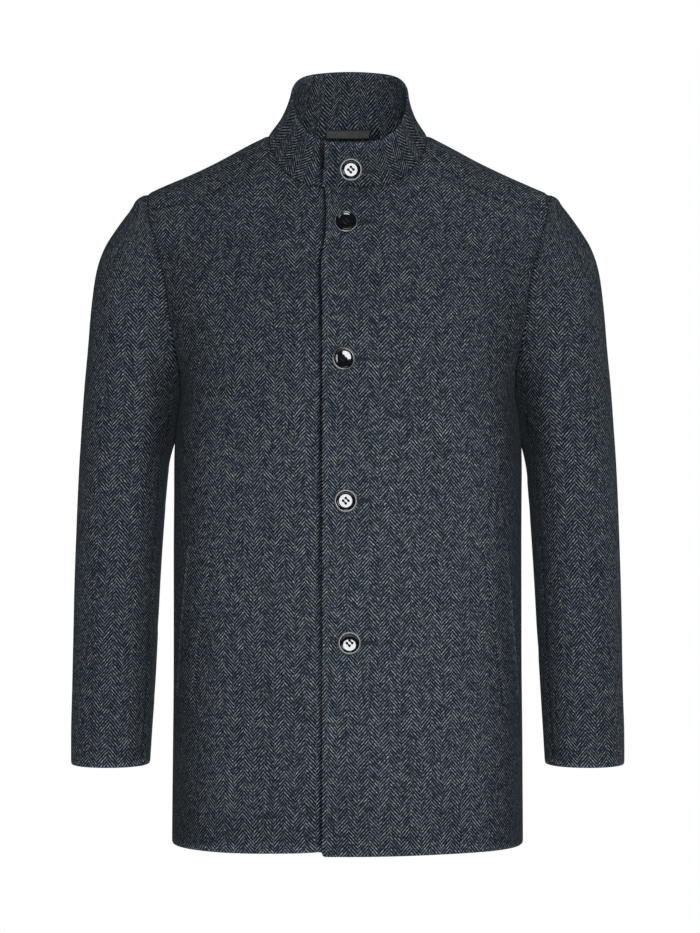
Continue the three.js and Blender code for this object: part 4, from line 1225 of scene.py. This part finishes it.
def ring_faces(rings, sides):
    """The faces between closed rings of points that follow one another."""
    starts = [(r * sides + k, r * sides + (k + 1) % sides) for r in range(rings - 1) for k in range(sides)]
    return [(a, b, b + sides, a + sides) for a, b in starts]


def lathe_mesh(name, profile, segments):
    points, flat = [], []
    for radius, height in profile:
        for k in range(segments):
            angle = k / segments * 2 * math.pi
            points.append((radius * math.cos(angle), -height, radius * math.sin(angle)))
            flat.append((radius / BUTTON_RADIUS, min(angle, 2 * math.pi - angle)))
    return make_object(name, np.array(points) * MM, ring_faces(len(profile), segments), np.array(flat))


def hole_cutter():
    points, faces = [], []
    for sideways, upward in ((1, 0), (0, 1), (-1, 0), (0, -1)):
        first = len(points)
        for height in (HOLE_FLOOR, HOLE_TOP):
            for k in range(HOLE_SIDES):
                angle = k / HOLE_SIDES * 2 * math.pi
                x = sideways * HOLE_SPREAD + HOLE_RADIUS * math.cos(angle)
                points.append((x, -height, upward * HOLE_SPREAD + HOLE_RADIUS * math.sin(angle)))
        low = list(range(first, first + HOLE_SIDES))
        high = [k + HOLE_SIDES for k in low]
        faces += [(low[k - 1], low[k], high[k], high[k - 1]) for k in range(HOLE_SIDES)]
        faces += [tuple(reversed(low)), tuple(high)]
    return make_object("cutter", np.array(points) * MM, faces, np.zeros((len(points), 2)))


def button_mesh():
    """One turned button with its four holes cut through, shared by all the buttons."""
    blank = lathe_mesh("button_blank", BUTTON_PROFILE, BUTTON_SEGMENTS)
    bpy.context.view_layer.objects.active = blank
    weld = blank.modifiers.new("weld", "WELD")
    weld.merge_threshold = PROFILE_WELD
    cutter = hole_cutter()
    for piece in (blank, cutter):
        recalculate(piece.data)
    cut = blank.modifiers.new("holes", "BOOLEAN")
    cut.object = cutter
    cut.operation = "DIFFERENCE"
    cut.solver = "EXACT"
    mesh = bpy.data.meshes.new_from_object(blank.evaluated_get(bpy.context.evaluated_depsgraph_get()))
    for piece in (blank, cutter):
        bpy.data.objects.remove(piece)
    mesh.polygons.foreach_set("use_smooth", np.ones(len(mesh.polygons), dtype=bool))
    mesh.set_sharp_from_angle(angle=math.radians(38))
    return mesh


def recalculate(mesh):
    work = bmesh.new()
    work.from_mesh(mesh)
    bmesh.ops.remove_doubles(work, verts=work.verts, dist=DOUBLES_WELD)
    bmesh.ops.recalc_face_normals(work, faces=work.faces)
    work.to_mesh(mesh)
    work.free()


def tube(path, radius, sides):
    path = np.array(path, float)
    along = unit(np.gradient(path, axis=0))
    across = unit(np.cross(along, [0, 1, 0]))
    up = np.cross(across, along)
    angles = np.arange(sides) / sides * 2 * np.pi
    rings = path[:, None] + radius * (
        across[:, None] * np.cos(angles)[None, :, None] + up[:, None] * np.sin(angles)[None, :, None]
    )
    faces = ring_faces(len(path), sides)
    last = (len(path) - 1) * sides
    faces += [tuple(reversed(range(sides))), tuple(range(last, last + sides))]
    length = np.concatenate([[0], np.cumsum(np.linalg.norm(np.diff(path, axis=0), axis=1))])
    flat = np.stack(np.broadcast_arrays(length[:, None], angles[None] * radius), axis=-1).reshape(-1, 2)
    return rings.reshape(-1, 3), faces, flat


def bundle(paths, radius, sides):
    """Tubes along paths with as many points each, as one mesh's points, faces and flat places in metres."""
    points, faces, flat = [], [], []
    for path in paths:
        rings, tube_faces, tube_flat = tube(path, radius, sides)
        first = len(points) * len(rings)
        points.append(rings)
        faces += [tuple(i + first for i in face) for face in tube_faces]
        flat.append(tube_flat)
    return np.concatenate(points) * MM, faces, np.concatenate(flat) * MM


def thread_mesh():
    """Two bars of three strands, each bar from hole to hole."""
    paths = []
    for start, end in (((0, 1), (1, 0)), ((-1, 0), (0, -1))):
        a, b = np.array(start) * HOLE_SPREAD, np.array(end) * HOLE_SPREAD
        run = (b - a) / np.linalg.norm(b - a)
        aside = np.array([-run[1], run[0]])
        for strand in (-1, 0, 1):
            path = []
            for t in np.linspace(0, 1, STRANDS["points"]):
                x, z = mix(a, b, t) + aside * strand * STRANDS["spacing"]
                height = STRANDS["low"] + STRANDS["rise"] * math.sin(math.pi * t) ** 0.45
                path.append((x, STRANDS["settle"] * abs(strand) - height, z))
            paths.append(path)
    return bundle(paths, STRANDS["radius"], STRANDS["sides"])


def place_on(piece, point, facing):
    """Sets a piece's own axis, -Y, along a direction."""
    matrix = Vector((0, -1, 0)).rotation_difference(Vector(facing)).to_matrix().to_4x4()
    matrix.translation = Vector(point) * MM
    piece.data.transform(matrix)


def facing_of(sideways, upward):
    """The direction that a button on its thread turns to, by its angles in degrees from the front."""
    sideways, upward = math.radians(sideways), math.radians(upward)
    ahead = math.cos(upward)
    return (math.sin(sideways) * ahead, -math.cos(sideways) * ahead, math.sin(upward))


def front_spot(x, z):
    return on_body(chart_of_xz(np.array(float(x)), np.array(float(z)), -1))


def make_buttons():
    mesh = button_mesh()
    thread = thread_mesh()
    angle = np.array(math.asin(COLLAR_BUTTON["x"] / NECK_HALF_WIDTH))
    rise = np.array(COLLAR_BUTTON["rise"])
    place = collar_point(angle, rise) + np.array([0, 0, COLLAR_BUTTON["lift"]])
    spots = [("button_collar", place, COLLAR_BUTTON["faces"])]
    for index, spot in enumerate(FRONT_BUTTONS):
        spots.append((f"button_{index + 1}", front_spot(spot["x"], spot["z"])[0], spot["faces"]))
    for name, point, faces in spots:
        button = bpy.data.objects.new(f"{name}_horn", mesh.copy())
        strands = make_object(f"{name}_thread", *thread)
        bpy.context.scene.collection.objects.link(button)
        for piece in (button, strands):
            place_on(piece, point, facing_of(*faces))
        button.data.materials.clear()
        finish_piece(button, HORN, "button", name)
        finish_piece(strands, THREAD, "tape")


def stitch_block(length, half):
    """A worked buttonhole: short stitches side by side along both lips and in a fan round its ends."""
    spots = []
    for t in np.arange(0, length, STITCH_STEP):
        spots += [((t, 0), 0.5 * math.pi), ((t, 0), 1.5 * math.pi)]
    for k in range(STITCH_FAN + 1):
        spots.append(((0, 0), math.pi * (0.5 + k / STITCH_FAN)))
        spots.append(((length, 0), math.pi * (-0.5 + k / STITCH_FAN)))
    random = np.random.RandomState(SEEDS["stitches"])
    paths = []
    for (x, z), angle in spots:
        angle += random.uniform(-STITCHES["turn"], STITCHES["turn"])
        reach = half * random.uniform(*STITCHES["reach"])
        path = []
        for t in np.linspace(0, 1, STITCHES["points"]):
            off = mix(STITCHES["start"], reach, t)
            height = STITCHES["low"] + STITCHES["rise"] * math.sin(math.pi * t) ** 0.6
            path.append((x + off * math.cos(angle), -height, z + off * math.sin(angle)))
        paths.append(path)
    return bundle(paths, STITCHES["radius"], STITCHES["sides"])


def make_buttonholes():
    stitches = stitch_block(HOLE_LENGTH, HOLE_HALF)
    spots = []
    for index, spot in enumerate(FRONT_BUTTONS):
        spots.append((f"buttonhole_{index + 1}", front_spot(spot["x"] - HOLE_SHIFT, spot["z"])))
    angle = np.array(math.asin((COLLAR_BUTTON["x"] - HOLE_SHIFT) / NECK_HALF_WIDTH))
    rise = np.array(COLLAR_BUTTON["rise"])
    spots.append(("buttonhole_collar", (collar_point(angle, rise), collar_normal(angle, rise))))
    for name, (point, normal) in spots:
        piece = make_object(f"{name}_stitches", *stitches)
        place_on(piece, point, normal)
        finish_piece(piece, STITCH, "wool")


# Stage, light and camera


def make_stage():
    mesh = bpy.data.meshes.new("floor")
    corners = [(x * FLOOR_HALF, y * FLOOR_HALF, FLOOR_Z) for x, y in ((-1, -1), (1, -1), (1, 1), (-1, 1))]
    mesh.from_pydata(corners, [], [(0, 1, 2, 3)])
    floor = bpy.data.objects.new("floor", mesh)
    bpy.context.scene.collection.objects.link(floor)
    g = Graph("floor_paper")
    grain = g.noise(g.add("ShaderNodeTexCoord", output=3), 4.0, 2.0)
    g.shade(Base_Color=g.mix(grain, (0.84, 0.84, 0.84, 1), (0.88, 0.88, 0.88, 1)), Roughness=0.9)
    mesh.materials.append(g.material)


def add_light(name, place, target, size, power, colour):
    data = bpy.data.lights.new(name, "AREA")
    data.shape = "ELLIPSE"
    data.size, data.size_y = size
    data.energy = power
    data.color = colour
    lamp = bpy.data.objects.new(name, data)
    lamp.location = place
    lamp.rotation_euler = (Vector(target) - Vector(place)).to_track_quat("-Z", "Y").to_euler()
    bpy.context.scene.collection.objects.link(lamp)


def make_world():
    """A white world behind the object, which lights it only a little."""
    world = bpy.data.worlds.new("studio")
    world.use_nodes = True
    tree = world.node_tree
    tree.nodes.clear()
    output = tree.nodes.new("ShaderNodeOutputWorld")
    share = tree.nodes.new("ShaderNodeMixShader")
    path = tree.nodes.new("ShaderNodeLightPath")
    tree.links.new(path.outputs["Is Camera Ray"], share.inputs[0])
    for index, (colour, strength) in enumerate((WORLD_GLOW, WORLD_BACKDROP)):
        background = tree.nodes.new("ShaderNodeBackground")
        background.inputs[0].default_value = colour
        background.inputs[1].default_value = strength
        tree.links.new(background.outputs[0], share.inputs[index + 1])
    tree.links.new(share.outputs[0], output.inputs[0])
    bpy.context.scene.world = world


def make_light():
    for name, light in LIGHTS.items():
        add_light(name, *light)
    make_world()
    bpy.context.scene.view_settings.view_transform = "Standard"


def make_camera():
    data = bpy.data.cameras.new("camera")
    data.lens = CAMERA_LENS
    data.sensor_width = 36
    camera = bpy.data.objects.new("camera", data)
    camera.location = CAMERA_PLACE
    camera.rotation_euler = (math.pi / 2, 0, 0)
    bpy.context.scene.collection.objects.link(camera)
    bpy.context.scene.camera = camera


def main():
    make_camera()
    make_light()
    make_stage()
    pieces = {
        "front_left": make_front(1),
        "front_right": make_front(-1),
        "back": make_back(),
        "collar": make_collar(),
    }
    for side, hand in (("left", 1), ("right", -1)):
        top, under = f"top_sleeve_{side}", f"under_sleeve_{side}"
        pieces[top] = make_sleeve(top, HIND_SEAM_STEP - ARMHOLE_STEPS, FORE_SEAM_STEP, hand)
        pieces[under] = make_sleeve(under, FORE_SEAM_STEP, HIND_SEAM_STEP, hand)
        pieces[f"pocket_welt_{side}"] = make_welt(hand)
    pieces["neck_loop"] = make_loop()
    make_buttons()
    make_buttonholes()


main()
